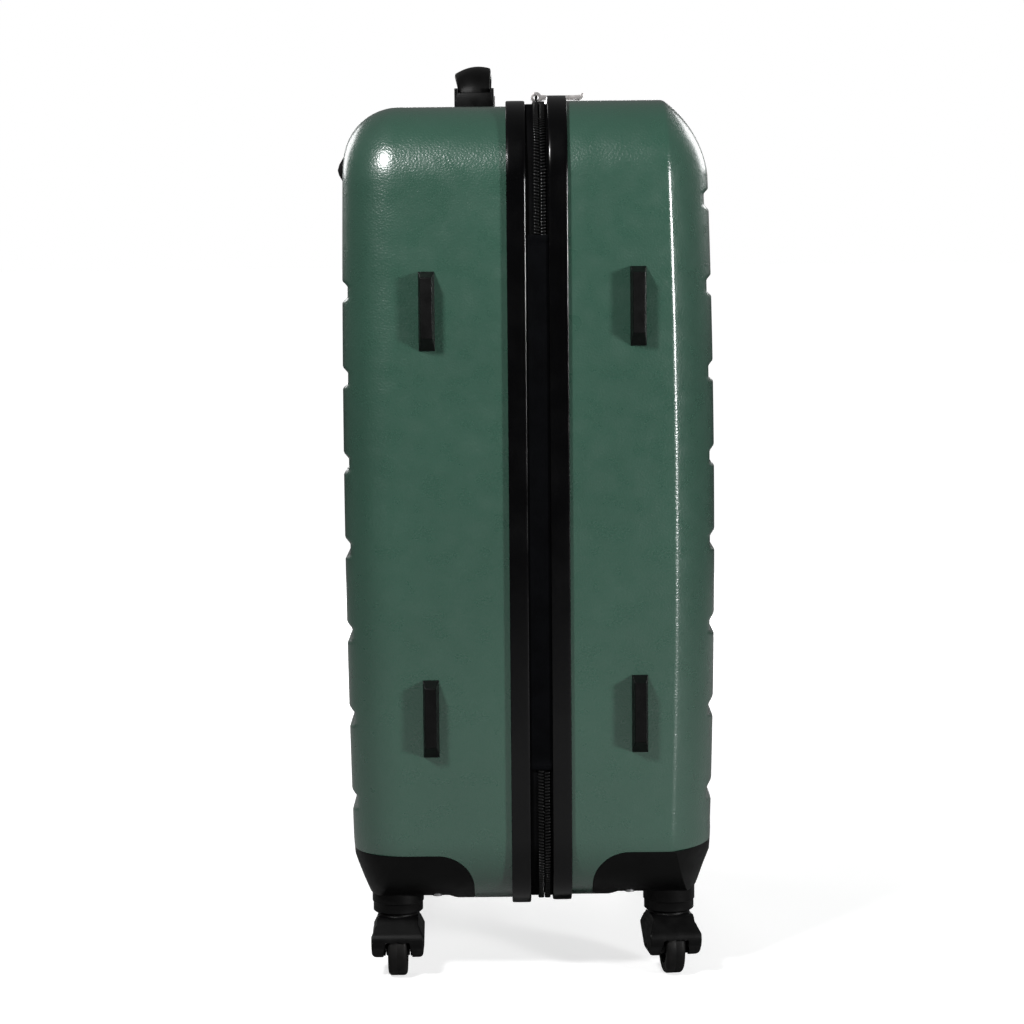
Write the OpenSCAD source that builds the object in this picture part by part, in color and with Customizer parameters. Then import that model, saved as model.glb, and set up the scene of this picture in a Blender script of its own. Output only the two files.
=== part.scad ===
// Hard shell suitcase on four spinner casters, drawn closed and standing.
// X is the depth: the rear half is at -X, and the front half, the lid, is at +X.
// Y is the width: the halves are hinged together along the -Y side.
// Each module measures from the parting plane (X = 0), the middle of the width
// (Y = 0) and the floor (Z = 0), and placed() moves it into the part's frame.

/* [Case] */
// Width across the side walls
case_w = 500; // [420:1:600]
// Height of the rear shell
case_h = 665; // [560:1:800]
// Parting plane to the fullest point of the rear face
rear_depth = 164; // [140:0.5:200]
// Parting plane to the fullest point of the front face
front_depth = 145.5; // [125:0.5:180]
// Corner radius of the outline seen from the front
corner_r = 62; // [50:1:75]
// Wall thickness of the shells
wall = 3; // [2:0.1:4]
// Radius from the rear face to its sides
rear_edge_r = 45; // [35:1:55]
// Radius of the bevel from the front face to its top and sides
bevel_r = 85; // [75:1:100]
// Width of that bevel, measured along the face
bevel_len = 69; // [60:1:75]
// Radius from the front face to its bottom
front_foot_r = 45; // [35:1:55]
// Bow of the rear face over its height
rear_crown = 4.4; // [1:0.1:8]
// Bow of the front face over its height
front_crown = 7; // [1:0.1:10]
// How much higher the front shell's bottom sits than the rear one's
front_rise = 2.2; // [0:0.1:4]
// How much taller the front shell is than the rear one
front_extra = 2; // [0:0.1:4]

/* [Face grooves] */
// Distance between grooves
groove_pitch = 70.8; // [50:0.1:100]
// Depth of a groove
groove_depth = 5; // [2:0.1:6]
// Height of a groove at the face
groove_mouth = 19; // [14:0.5:26]
// Height of a groove at its floor
groove_floor = 8; // [4:0.5:12]
// Top of the rear shell to its highest groove
rear_groove_top = 151; // [90:1:200]
// Top of the front shell to its highest groove
front_groove_top = 82; // [75:1:200]

/* [Edge frames and zip] */
// Width of the black frame on each half
frame_w = 16; // [12:0.5:22]
// How far a frame stands out from its shell
frame_proud = 4.5; // [3:0.1:6]
// Thickness of the frame's web over the shell's rim
frame_web = 2; // [1.5:0.1:3]
// Parting plane to the rear frame
rear_gap = 11.1; // [8:0.1:14]
// Parting plane to the front frame
front_gap = 6.9; // [6.5:0.1:12]
// Width of one row of zip teeth
teeth_w = 5; // [4:0.1:6]
// Thickness of the zip teeth
teeth_t = 2.6; // [2:0.1:3]
// Thickness of the zip tape and the hinge strip
tape_t = 1.2; // [0.8:0.1:2]
// Height of the hinge strip, between the two ends of the zip
strip_h = 439; // [300:1:500]
// How far the strip's middle is above the zip's middle
strip_rise = 6; // [0:0.5:12]

/* [Casters] */
// Diameter of a wheel
wheel_d = 45; // [38:0.5:60]
// Width of a tyre
wheel_w = 16; // [12:0.5:24]
// Diameter of a wheel's axle
axle_d = 6; // [5:0.5:8]
// Swivel axis to wheel axis
trail = 14; // [8:0.5:18]
// Width of a fork
fork_w = 43.5; // [38:0.5:60]
// Thickness of the fork's top web
fork_web = 6; // [5:0.5:8]
// Height of the neck between fork and guard
neck_h = 17; // [10:0.5:24]
// Diameter of the neck
neck_d = 42; // [36:0.5:50]
// Diameter of a swivel pin
pin_d = 8; // [6:0.5:10]
// Face to swivel axis
caster_in_x = 40; // [36:0.5:50]
// Side wall to swivel axis
caster_in_y = 54; // [50:0.5:60]
// Length of a wheel guard along the side wall and along the face
guard_l = 105; // [95:1:120]
// Height of a wheel guard
guard_h = 47.5; // [42:0.5:60]
// Radius of a wheel guard's upper corner
guard_r = 30; // [20:1:36]
// Thickness of a wheel guard over the shell
guard_t = 2.6; // [2:0.1:4]
// Height of the well in the shell's bottom that holds a guard
well_h = 15; // [13:0.5:20]
// How far a guard's underside is raised round the neck
underside_rise = 7.5; // [4:0.5:9]

/* [Side feet] */
// Parting plane to the middle of the rear feet
rear_foot_x = 92.6; // [60:0.5:100]
// Parting plane to the middle of the front feet
front_foot_x = 79.4; // [60:0.5:85]
// Distance between the upper and the lower feet
foot_pitch = 335; // [250:1:380]
// How far the middle between the feet is below the middle of the shell
foot_drop = 1.5; // [0:0.5:20]
// Length, width and height of a foot
foot_size = [65, 13.5, 15];

/* [Trolley] */
// Rear face to the middle of the tubes
tube_in = 26; // [24:0.5:30]
// Distance between the two tubes
tube_pitch = 150; // [120:1:170]
// Width and depth of an outer tube
tube_size = [26, 15];
// Wall of a tube
tube_wall = 1; // [0.8:0.1:1.5]
// Width of the bezel
bezel_w = 210; // [190:1:230]
// Top of the rear shell to the bezel's lower edge
bezel_h = 66; // [60:1:80]
// How far the bezel stands out from the rear face
bezel_proud = 7.5; // [4:0.5:12]
// Travel of each of the two stages
stage_travel = 185; // [100:1:250]
// Travel of the release button
button_travel = 3; // [2:0.5:4]

/* [Carry handles] */
// Distance between a handle's two pins
handle_l = 170; // [150:1:200]
// Height of a handle above the shell
handle_h = 40; // [36:1:48]
// Width of a handle's grip
grip_w = 27; // [22:0.5:32]
// How far a grip lifts
handle_lift = 8; // [4:0.5:9]
// Parting plane to the middle of the handles
handle_x = 54; // [48:1:70]

/* [Lock] */
// Length and width of the lock plate
lock_size = [72, 34];
// Parting plane to the middle of the lock
lock_x = 45; // [44:1:60]
// Radius of a dial
dial_r = 7.5; // [6:0.5:9]

/* [Zip sliders] */
// Distance between the two sliders when they meet
slider_pitch = 24; // [22:1:40]
// Length of a pull
pull_l = 43; // [30:1:50]

/* [Lining] */
// Thickness of the lining
lining_t = 1.5; // [1:0.1:3]
// Rear face to the lining over the trolley tubes
rear_floor_in = 38; // [36:1:45]
// Front face to the lining
front_floor_in = 19; // [16:1:30]

/* [Hidden] */
$fn = 96;
CASTERS = ["rear_hinge", "rear_open", "front_hinge", "front_open"];
CASTER_PARTS = ["guard", "fork", "axle", "hub", "tyre"];

shell_green = [0.23, 0.37, 0.31];
gloss_black = [0.03, 0.03, 0.035];
matt_black = [0.08, 0.08, 0.08];
steel = [0.6, 0.58, 0.56];
cloth_grey = [0.25, 0.26, 0.27];

// How far a rounding's arc would run past the flat sides, which it then meets in a true edge
arc_over = 0.05;

// Clearances
seat_gap = 0.2;
slide_gap = 0.25;
swivel_gap = 0.5;
running_gap = 0.06;

// The caster's stack of heights sets how high the case stands
wheel_r = wheel_d / 2;
fork_room = 1.2;
fork_top = wheel_d + fork_room + fork_web;
neck_z = fork_top + swivel_gap;
ground_gap = neck_z + neck_h - underside_rise;
pin_head = [7, 1.8];
turn = [0, 0, 7, 0];

// The bounding box is centred on the frame's origin
frame_x = (rear_depth + bezel_proud - front_depth) / 2;
frame_y = (foot_size[2] - handle_h) / 2;

function half_depth(front) = front ? front_depth : rear_depth;
function half_h(front) = case_h + (front ? front_extra : 0);
function half_z0(front) = ground_gap + (front ? front_rise : 0);
function half_top(front) = half_z0(front) + half_h(front);
function half_zc(front) = half_z0(front) + half_h(front) / 2;
function frame_gap(front) = front ? front_gap : rear_gap;
function crown(front) = front ? front_crown : rear_crown;
// Height of the face's fullest point above the middle of the half
function crown_shift(front) = case_h * (front ? -0.03 : 0.05);
function crown_r(front) = (pow(half_h(front) / 2, 2) + pow(crown(front), 2)) / (2 * crown(front));
// How far the bowed face lies behind its fullest point, z from the middle of the half
function recede(front, z) =
    crown_r(front) - sqrt(pow(crown_r(front), 2) - pow(z - crown_shift(front), 2));
// Radius and width of the face's rounded edge: low and high end seen from the side, then from above
function edge_r(front) =
    front ? [front_foot_r + arc_over, bevel_r, bevel_r] : [1, 1, 1] * (rear_edge_r + arc_over);
function edge_len(front) = front ? [front_foot_r, bevel_len, bevel_len] : [1, 1, 1] * rear_edge_r;

module placed() {
    translate([frame_x, frame_y, 0]) children();
}

// Children are drawn with the depth along +X and Z from the middle of the half
module in_half(front) {
    placed() translate([0, 0, half_zc(front)]) mirror([front ? 0 : 1, 0, 0]) children();
}

// Children are drawn with the depth along +X and Z from the floor
module in_depth(front) {
    placed() mirror([front ? 0 : 1, 0, 0]) children();
}

module rounded_rect(w, h, r) {
    square([w - 2 * r, h], center = true);
    square([w, h - 2 * r], center = true);
    for (x = [-1, 1], y = [-1, 1])
        translate([x * (w / 2 - r), y * (h / 2 - r)]) circle(r);
}

// Box from one corner to the other
module block(low, high) {
    translate(low) cube(high - low);
}

// ---- Shells ----

// A half's outline with straight sides and a rounded edge at each end of its face
module edged_outline(front, length, ends, behind, inset) {
    d = half_depth(front) - inset;
    l = length / 2 - inset;
    difference() {
        translate([0, -l]) square([d, 2 * l]);
        for (k = [0, 1]) {
            r = edge_r(front)[ends[k]];
            cy = length / 2 - edge_len(front)[ends[k]];
            cx = half_depth(front) - behind[k] - r;
            mirror([0, 1 - k]) difference() {
                translate([cx, cy]) square([d - cx + 1, l - cy + 1]);
                translate([cx, cy]) circle(r - inset);
            }
        }
    }
}

module grooves(front, inset) {
    l = half_h(front) / 2;
    top = front ? front_groove_top : rear_groove_top;
    count = floor((half_h(front) - top - guard_h - 30) / groove_pitch) + 1;
    slope = (groove_mouth - groove_floor) / 2 / groove_depth;
    for (i = [0 : count - 1]) {
        z = l - top - i * groove_pitch;
        x = half_depth(front) - recede(front, z) - groove_depth - inset;
        low = groove_floor / 2 + inset / 2;
        out = groove_depth + 8;
        polygon([[x, z - low], [x + out, z - low - slope * out],
                 [x + out, z + low + slope * out], [x, z + low]]);
    }
}

module side_outline(front, inset, grooved) {
    l = half_h(front) / 2;
    d = half_depth(front) - inset;
    steps = 14;
    ends = [for (k = [0, 1]) (2 * k - 1) * (l - edge_len(front)[k])];
    difference() {
        intersection() {
            edged_outline(front, 2 * l, [0, 1], [for (z = ends) recede(front, z)], inset);
            polygon(concat([[0, l], [0, -l]],
                [for (k = [0 : steps]) let (z = -l + 2 * l * k / steps) [d - recede(front, z), z]]));
        }
        if (grooved) grooves(front, inset);
    }
}

module plan_outline(front, inset) {
    edged_outline(front, case_w, [2, 2], [0, 0], inset);
}

module end_outline(front, inset) {
    w = case_w - 2 * inset;
    h = half_h(front) - 2 * inset;
    r = corner_r - inset;
    intersection() {
        square([w, h], center = true);
        union() {
            square([w - 2 * r, h], center = true);
            square([w, h - 2 * r], center = true);
            for (x = [-1, 1], y = [-1, 1])
                translate([x * (w / 2 - r), y * (h / 2 - r)]) circle(r + arc_over);
        }
    }
}

// One half of the case as a solid, its outer surface moved in by inset
module tub(front, inset = 0, grooved = true) {
    intersection() {
        rotate([90, 0, 0]) linear_extrude(case_w + 10, center = true)
            side_outline(front, inset, grooved);
        linear_extrude(half_h(front) + 10, center = true) plan_outline(front, inset);
        rotate([90, 0, 90]) linear_extrude(half_depth(front) + 5) end_outline(front, inset);
    }
}

// A rectangle from the origin with its upper left corner rounded
module shouldered(w, h, r) {
    translate([r, 0]) square([w - r, h]);
    square([w, h - r]);
    translate([r, h - r]) circle(r);
}

// The corner of the half that a wheel guard covers
module corner_zone(front, side, grow) {
    beyond = 20;
    l = half_h(front) / 2;
    intersection() {
        translate([half_depth(front) - guard_l - grow, 0, -l - beyond]) rotate([90, 0, 0])
            linear_extrude(case_w + 2 * beyond, center = true)
                shouldered(guard_l + grow + beyond, guard_h + grow + beyond, guard_r);
        mirror([0, side > 0 ? 0 : 1, 0]) translate([0, case_w / 2 - guard_l - grow, -l - beyond])
            rotate([90, 0, 90]) linear_extrude(half_depth(front) + beyond)
                shouldered(guard_l + grow + beyond, guard_h + grow + beyond, guard_r);
    }
}

// What is left of the shell behind a guard
module behind_guard(front, inset) {
    l = half_h(front) / 2;
    intersection() {
        tub(front, guard_t + inset, false);
        block([-1, -case_w, -l + well_h + inset], [rear_depth + front_depth, case_w, l]);
    }
}

module stepped_tub(front, inset, grooved = true) {
    difference() {
        tub(front, inset, grooved);
        for (side = [-1, 1]) difference() {
            corner_zone(front, side, inset);
            behind_guard(front, inset);
        }
    }
}

module shell(front) {
    color(shell_green) difference() {
        in_half(front) difference() {
            stepped_tub(front, 0);
            stepped_tub(front, wall);
            block([-5, -case_w, -case_h], [frame_gap(front) + frame_web, case_w, case_h]);
        }
        guard_screws(front);
        if (front) lock_hole();
        else trolley_hole();
    }
}

module rear_shell() { shell(false); }
module front_shell() { shell(true); }

// ---- Edge frames ----

module ring(front, outer, inner, x0, x1) {
    translate([x0, 0, 0]) rotate([90, 0, 90]) linear_extrude(x1 - x0) difference() {
        end_outline(front, -outer);
        end_outline(front, inner);
    }
}

module frame(front) {
    lip = 2;
    x0 = frame_gap(front);
    color(gloss_black) in_half(front) {
        ring(front, frame_proud, wall + lip, x0, x0 + frame_web);
        ring(front, frame_proud, 0, x0, x0 + frame_w);
        translate([x0, 0, 0]) rotate([90, 0, 90]) linear_extrude(frame_w * 0.6) difference() {
            end_outline(front, wall);
            end_outline(front, wall + lip);
        }
    }
}

module rear_frame() { frame(false); }
module front_frame() { frame(true); }

// ---- Zip ----

// The zip's outer surface lies between the levels of the two frames
zip_proud = 2.3;
zip_zc = (half_zc(false) + half_zc(true)) / 2;
zip_h = (half_h(false) + half_h(true)) / 2 + 2 * zip_proud;
zip_w = case_w + 2 * zip_proud;
zip_top = zip_zc + zip_h / 2;
zip_r = corner_r + zip_proud;

module zip_ring(drop, t, x0, x1) {
    placed() translate([x0, 0, zip_zc]) rotate([90, 0, 90]) linear_extrude(x1 - x0) difference() {
        rounded_rect(zip_w - 2 * drop, zip_h - 2 * drop, zip_r - drop);
        rounded_rect(zip_w - 2 * drop - 2 * t, zip_h - 2 * drop - 2 * t, zip_r - drop - t);
    }
}

// The stretch of the hinge side that has a plain strip in place of the zip
module strip_zone(over = 0) {
    zc = zip_zc + strip_rise;
    placed() block([-30, -case_w / 2 - 20, zc - strip_h / 2 - over],
                   [30, -case_w / 2 + 20, zc + strip_h / 2 + over]);
}

module zip_tape(front) {
    x0 = front ? seat_gap : -rear_gap;
    x1 = front ? front_gap : -seat_gap;
    color(matt_black) difference() {
        zip_ring(teeth_t, tape_t, x0, x1);
        strip_zone(seat_gap);
    }
}

module zip_teeth(front) {
    x0 = front ? seat_gap : -teeth_w;
    color(gloss_black) difference() {
        zip_ring(0, teeth_t, x0, x0 + teeth_w - seat_gap);
        strip_zone(seat_gap);
    }
}

module rear_zip_tape() { zip_tape(false); }
module front_zip_tape() { zip_tape(true); }
module rear_zip_teeth() { zip_teeth(false); }
module front_zip_teeth() { zip_teeth(true); }

module hinge_strip() {
    color(matt_black) intersection() {
        zip_ring(0, tape_t, -rear_gap, front_gap - seat_gap);
        strip_zone();
    }
}

// Sliders lie on the teeth of the top run, where the two zip ends meet
slider_l = 19;
slider_w = 12;
plate_t = 2.2;
bridge_bar = [3.2, 2.5];
bridge_z = zip_top + slide_gap + plate_t + 6;
ring_r = [2.5, 4.7];
pull_t = 2.6;
pull_w = 10;

module zip_slider(side) {
    plate_z = zip_top + slide_gap;
    color(gloss_black) placed() translate([0, side * slider_pitch / 2, 0]) {
        translate([0, 0, plate_z]) linear_extrude(plate_t) {
            rounded_rect(slider_w, slider_l, 4);
        }
        difference() {
            translate([-bridge_bar[0] / 2, -slider_l / 2 + 2, plate_z])
                cube([bridge_bar[0], slider_l - 4, bridge_z - plate_z + bridge_bar[1]]);
            block([-5, -slider_l / 2 + 4.2, plate_z + plate_t], [5, slider_l / 2 - 4.2, bridge_z]);
        }
    }
}

module zip_pull(side) {
    z = bridge_z + bridge_bar[1] / 2;
    loop_w = 6;
    color(steel) placed() translate([0, side * slider_pitch / 2, z]) difference() {
        union() {
            rotate([90, 0, 0]) cylinder(r = ring_r[1], h = loop_w, center = true);
            block([0, -loop_w / 2, ring_r[1] - pull_t], [10, loop_w / 2, ring_r[1]]);
            block([8, -pull_w / 2, ring_r[1] - pull_t], [pull_l, pull_w / 2, ring_r[1]]);
            block([pull_l - 6, -pull_w / 2, 0], [pull_l, pull_w / 2, ring_r[1]]);
        }
        rotate([90, 0, 0]) cylinder(r = ring_r[0], h = loop_w + 2, center = true);
        translate([pull_l - 14, 0, 0]) cylinder(r = 2.5, h = 20, center = true);
    }
}

module zip_slider_hinge() { zip_slider(-1); }
module zip_slider_open() { zip_slider(1); }
module zip_pull_hinge() { zip_pull(-1); }
module zip_pull_open() { zip_pull(1); }

// ---- Side feet ----

module foot() {
    l = foot_size[0];
    w = foot_size[1];
    h = foot_size[2];
    taper = 8;
    intersection() {
        rotate([90, 0, 90]) linear_extrude(w, center = true)
            polygon([[0, -l / 2], [-h, -l / 2 + taper * 1.4], [-h, l / 2 - taper * 0.6], [0, l / 2]]);
        linear_extrude(l + 2, center = true)
            polygon([[-w / 2, 1], [-w / 2, 0], [-w / 2 + 2, -h], [w / 2 - 2, -h], [w / 2, 0], [w / 2, 1]]);
    }
}

module side_feet(front) {
    x = front ? front_foot_x : rear_foot_x;
    color(matt_black) in_half(front)
        for (s = [-1, 1]) translate([x, -case_w / 2, s * foot_pitch / 2 - foot_drop]) foot();
}

module rear_side_feet() { side_feet(false); }
module front_side_feet() { side_feet(true); }

// ---- Casters ----

function is_front(i) = i >= 2;
function side_of(i) = i % 2 == 0 ? -1 : 1;

// Children are drawn from the floor under the swivel axis, with the depth along +X
module at_caster(i) {
    front = is_front(i);
    in_depth(front) translate([half_depth(front) - caster_in_x,
                               side_of(i) * (case_w / 2 - caster_in_y), 0]) children();
}

// The wheel trails towards the hinge side
module at_wheel(i) {
    at_caster(i) rotate([0, 0, turn[i]]) translate([0, -trail, wheel_r]) children();
}

// Face to the guard's lower edge, and to the step where its underside drops to the shell's
guard_tuck = 14.2;
guard_step = guard_l - 21;
pin_cover = 4;
function guard_top(front) = half_z0(front) + well_h - seat_gap;
function pin_top(front) = guard_top(front) - pin_cover;
// Two screws a guard, side by side between the neck and the inner edge
screw_in = 34;
screw_pitch = 43;
screw_r = 2;
screw_head = [4, 2.2];

module guard_outline(front) {
    d = half_depth(front);
    l = half_h(front) / 2;
    polygon([[d - guard_l, guard_h - l],
             [d - recede(front, guard_h - l), guard_h - l],
             [d - recede(front, guard_h - l) - 0.6, guard_h - 11 - l],
             [d - guard_tuck, underside_rise - l],
             [d - guard_step, underside_rise - l],
             [d - guard_step - 12, -l],
             [d - guard_l, -l]]);
}

module guard(i) {
    front = is_front(i);
    top = guard_top(front);
    color(matt_black) difference() {
        union() {
            in_half(front) difference() {
                intersection() {
                    rotate([90, 0, 0]) linear_extrude(case_w + 10, center = true) guard_outline(front);
                    linear_extrude(half_h(front) + 10, center = true) plan_outline(front, 0);
                    rotate([90, 0, 90]) linear_extrude(half_depth(front) + 5) end_outline(front, 0);
                    corner_zone(front, side_of(i), -seat_gap);
                }
                behind_guard(front, -seat_gap);
            }
            at_caster(i) translate([0, 0, neck_z]) cylinder(d = neck_d, h = top - neck_z);
            at_caster(i) translate([0, 0, neck_z + neck_h / 2])
                cylinder(d = neck_d + 1.6, h = top - neck_z - neck_h / 2);
        }
        at_caster(i) cylinder(d = pin_d, h = pin_top(front));
        guard_screws(front);
    }
}

// A pin's head is under the fork's web, and its shank is held in the guard
module swivel_pins(front) {
    low = wheel_d + 0.4;
    color(steel) for (i = front ? [2, 3] : [0, 1]) at_caster(i) translate([0, 0, low]) {
        cylinder(r = pin_head[0], h = pin_head[1]);
        cylinder(d = pin_d, h = pin_top(front) - low);
    }
}

module rear_swivel_pins() { swivel_pins(false); }
module front_swivel_pins() { swivel_pins(true); }

// Screws go up through the guard into the floor of the well
module guard_screws(front) {
    z0 = half_z0(front) + underside_rise;
    color(steel) for (i = front ? [2, 3] : [0, 1], s = [-1, 1])
        at_caster(i) translate([-screw_in, s * screw_pitch / 2, z0]) {
            cylinder(r = screw_head[0], h = screw_head[1]);
            cylinder(r = screw_r, h = well_h - underside_rise + wall);
        }
}

module rear_guard_screws() { guard_screws(false); }
module front_guard_screws() { guard_screws(true); }

module fork(i) {
    half_w = fork_w / 2;
    cheek_low = wheel_r - 5.5;
    reach = wheel_r - 0.5;
    color(matt_black) difference() {
        union() {
            at_caster(i) translate([0, 0, wheel_d - 2]) cylinder(d = neck_d - 3, h = fork_top - wheel_d + 2);
            at_caster(i) rotate([0, 0, turn[i]]) intersection() {
                // Seen from behind: cheeks with rounded feet and sloped shoulders
                rotate([90, 0, 0]) linear_extrude(120, center = true) {
                    translate([0, (cheek_low + fork_top - 6) / 2])
                        rounded_rect(fork_w, fork_top - 6 - cheek_low, 5);
                    translate([-half_w + 2, wheel_r]) square([fork_w - 4, fork_top - wheel_r - 2]);
                }
                // Seen from the side: a hood over the wheel
                rotate([90, 0, 90]) linear_extrude(fork_w + 2, center = true) hull() {
                    translate([-trail - reach + 9, wheel_r + 10]) circle(9, $fn = 32);
                    translate([-trail - 8, cheek_low + 6]) circle(6, $fn = 32);
                    translate([-trail + 6, cheek_low + 6]) circle(6, $fn = 32);
                    translate([neck_d / 2 - 10, fork_top - 12]) circle(8, $fn = 32);
                    translate([-trail - 4, fork_top - 10]) circle(8, $fn = 32);
                }
            }
        }
        at_wheel(i) rotate([0, 90, 0]) cylinder(r = wheel_r + 1.2, h = wheel_w + 5, center = true);
        at_caster(i) rotate([0, 0, turn[i]]) block([-wheel_w / 2 - 2.5, -trail - 1.2 - wheel_r, -1],
                                   [wheel_w / 2 + 2.5, -trail + wheel_r + 1.2, wheel_r]);
        at_wheel(i) rotate([0, 90, 0]) cylinder(d = axle_d, h = fork_w + 2, center = true);
        at_caster(i) translate([0, 0, wheel_r]) cylinder(r = pin_d / 2 + running_gap, h = fork_top);
        at_caster(i) translate([0, 0, wheel_r])
            cylinder(r = pin_head[0] + 0.3, h = wheel_r + 0.7 + pin_head[1]);
    }
}

module axle(i) {
    color(steel) at_wheel(i) rotate([0, 90, 0]) cylinder(d = axle_d, h = fork_w - 3, center = true);
}

hub_r = 14;
module hub(i) {
    color(matt_black) at_wheel(i) rotate([0, 90, 0]) difference() {
        union() {
            cylinder(r = hub_r, h = wheel_w - 3, center = true);
            cylinder(r = axle_d / 2 + 3, h = wheel_w + 4, center = true);
        }
        cylinder(r = axle_d / 2 + running_gap, h = wheel_w + 6, center = true);
    }
}

module tyre(i) {
    shoulder = 3;
    color(matt_black) at_wheel(i) rotate([0, 90, 0]) rotate_extrude() {
        translate([hub_r, -wheel_w / 2]) square([wheel_r - shoulder - hub_r, wheel_w]);
        translate([hub_r, -wheel_w / 2 + shoulder]) square([wheel_r - hub_r, wheel_w - 2 * shoulder]);
        for (s = [-1, 1]) translate([wheel_r - shoulder, s * (wheel_w / 2 - shoulder)]) circle(shoulder);
    }
}

// ---- Trolley ----

tube_x = rear_depth - tube_in;
cup_floor = [half_top(false) - 43, half_top(false) - 37];
cup_x = rear_depth - 59;
// How far the bezel's collar stands over the shell
bezel_over = 1.2;
pocket_x = [rear_depth - 55, rear_depth - 10];
grip_x = [tube_x - 14, pocket_x[1] - 1.5];
mid_size = tube_size - [1, 1] * (2 * tube_wall + 2 * slide_gap);
inner_size = mid_size - [1, 1] * (2 * tube_wall + 2 * slide_gap);
grip_half_w = bezel_w / 2 - 10;
tube_low = half_z0(false) + 30;
// What stays inside the tube below when a stage is fully out
stage_hold = 120;

module tube_section(size) {
    rounded_rect(size[0], size[1], size[1] / 2 - 0.5);
}

// Two tubes from z0 to z1, drawn solid or with their bore
module tube_pair(size, z0, z1, bored) {
    in_depth(false) for (s = [-1, 1])
        translate([tube_x, s * tube_pitch / 2, z0]) rotate([0, 0, 90]) linear_extrude(z1 - z0) difference() {
            tube_section(size);
            if (bored) tube_section(size - [1, 1] * 2 * tube_wall);
        }
}

module trolley_hole() {
    in_depth(false) block([cup_x + 2, -bezel_w / 2 + 2, cup_floor[0]],
                          [rear_depth + 10, bezel_w / 2 - 2, half_top(false) + 10]);
}

module trolley_bezel() {
    top = half_top(false);
    low = top - bezel_h;
    d = rear_depth;
    color(matt_black) difference() {
        union() {
            intersection() {
                in_half(false) tub(false, -bezel_over, false);
                in_depth(false) block([cup_x, -bezel_w / 2, cup_floor[0]], [d + 20, bezel_w / 2, top + 10]);
            }
            // The lip that stands out from the rear face
            in_depth(false) rotate([90, 0, 0]) linear_extrude(bezel_w, center = true)
                polygon([[d - 0.2, low], [d + bezel_proud - 1, low + 12], [d + bezel_proud, low + 16],
                         [d + bezel_proud - 1.5, low + 21], [d - 3, low + 36], [d - 8, low + 36],
                         [d - 8, cup_floor[0]], [d - 0.2, cup_floor[0]]]);
        }
        difference() {
            in_half(false) tub(false, 0, false);
            trolley_hole();
        }
        in_depth(false) block([pocket_x[0], -bezel_w / 2 + 8, cup_floor[1]],
                              [pocket_x[1], bezel_w / 2 - 8, top + 10]);
        tube_pair(mid_size + [1, 1] * 2 * slide_gap, cup_floor[0] - 1, cup_floor[1] + 1, false);
    }
}

module trolley_outer_tubes() {
    color(steel) tube_pair(tube_size, tube_low, cup_floor[0], true);
}

module trolley_middle_tubes() {
    color(steel) tube_pair(mid_size, cup_floor[0] - stage_travel - stage_hold, cup_floor[1] + 1, true);
}

module trolley_inner_tubes() {
    color(steel) tube_pair(inner_size, cup_floor[1] - stage_travel - stage_hold, cup_floor[1] + 16, true);
}

button_half = [6, 16];

module trolley_grip() {
    color(matt_black) difference() {
        intersection() {
            in_half(false) tub(false, 1, false);
            in_depth(false) block([grip_x[0], -grip_half_w, cup_floor[1] + 1.5],
                                  [grip_x[1], grip_half_w, half_top(false)]);
        }
        tube_pair(inner_size, cup_floor[1], cup_floor[1] + 16, false);
        in_depth(false) block([tube_x - button_half[0] - slide_gap, -button_half[1] - slide_gap, cup_floor[1] + 12],
                              [tube_x + button_half[0] + slide_gap, button_half[1] + slide_gap, half_top(false)]);
    }
}

module trolley_button() {
    color(gloss_black) intersection() {
        in_half(false) tub(false, 0.2, false);
        in_depth(false) block([tube_x - button_half[0], -button_half[1], cup_floor[1] + 12.5 + button_travel],
                              [tube_x + button_half[0], button_half[1], half_top(false)]);
    }
}

module trolley_foot() {
    color(matt_black) difference() {
        intersection() {
            in_half(false) tub(false, wall);
            in_depth(false) block([rear_depth - rear_floor_in + seat_gap, -tube_pitch / 2 - 22, 0],
                                  [rear_depth - 10, tube_pitch / 2 + 22, tube_low + 12]);
        }
        tube_pair(tube_size, tube_low, tube_low + 20, false);
    }
}

// ---- Carry handles ----

bracket_h = 19;
cheek_t = 3;
handle_pin_r = 2.5;
handle_pin_z = bracket_h - 4.5;

// Drawn on a wall in the XY plane, with the grip along Y
module handle_brackets() {
    w = grip_w + 1 + 2 * cheek_t;
    color(matt_black) for (s = [-1, 1]) translate([0, s * handle_l / 2, 0]) {
        difference() {
            linear_extrude(bracket_h) rounded_rect(w, 30, 4);
            block([-grip_w / 2 - 0.5, -20, 2], [grip_w / 2 + 0.5, 20, bracket_h + 1]);
        }
        translate([0, 0, handle_pin_z]) rotate([0, 90, 0])
            cylinder(r = handle_pin_r, h = grip_w + 1 + cheek_t, center = true);
    }
}

module handle_grip() {
    end = handle_l / 2 + 9;
    slope = handle_h - 14;
    color(matt_black) rotate([90, 0, 90]) linear_extrude(grip_w, center = true) difference() {
        polygon([[-end, 3], [-end, 14], [-end + slope, handle_h], [end - slope, handle_h],
                 [end, 14], [end, 3], [end - 18, 3], [end - 18, 12], [end - slope - 8, handle_h - 11],
                 [-end + slope + 8, handle_h - 11], [-end + 18, 12], [-end + 18, 3]]);
        for (s = [-1, 1]) translate([s * handle_l / 2, handle_pin_z]) {
            circle(handle_pin_r + slide_gap);
            translate([0, -handle_lift]) circle(handle_pin_r + slide_gap);
            translate([-handle_pin_r - slide_gap, -handle_lift])
                square([2 * (handle_pin_r + slide_gap), handle_lift]);
        }
    }
}

module on_top() {
    placed() translate([-handle_x, 0, half_top(false)]) children();
}

module on_side() {
    placed() translate([-handle_x, case_w / 2, half_zc(false)]) rotate([-90, 0, 0]) children();
}

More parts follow.
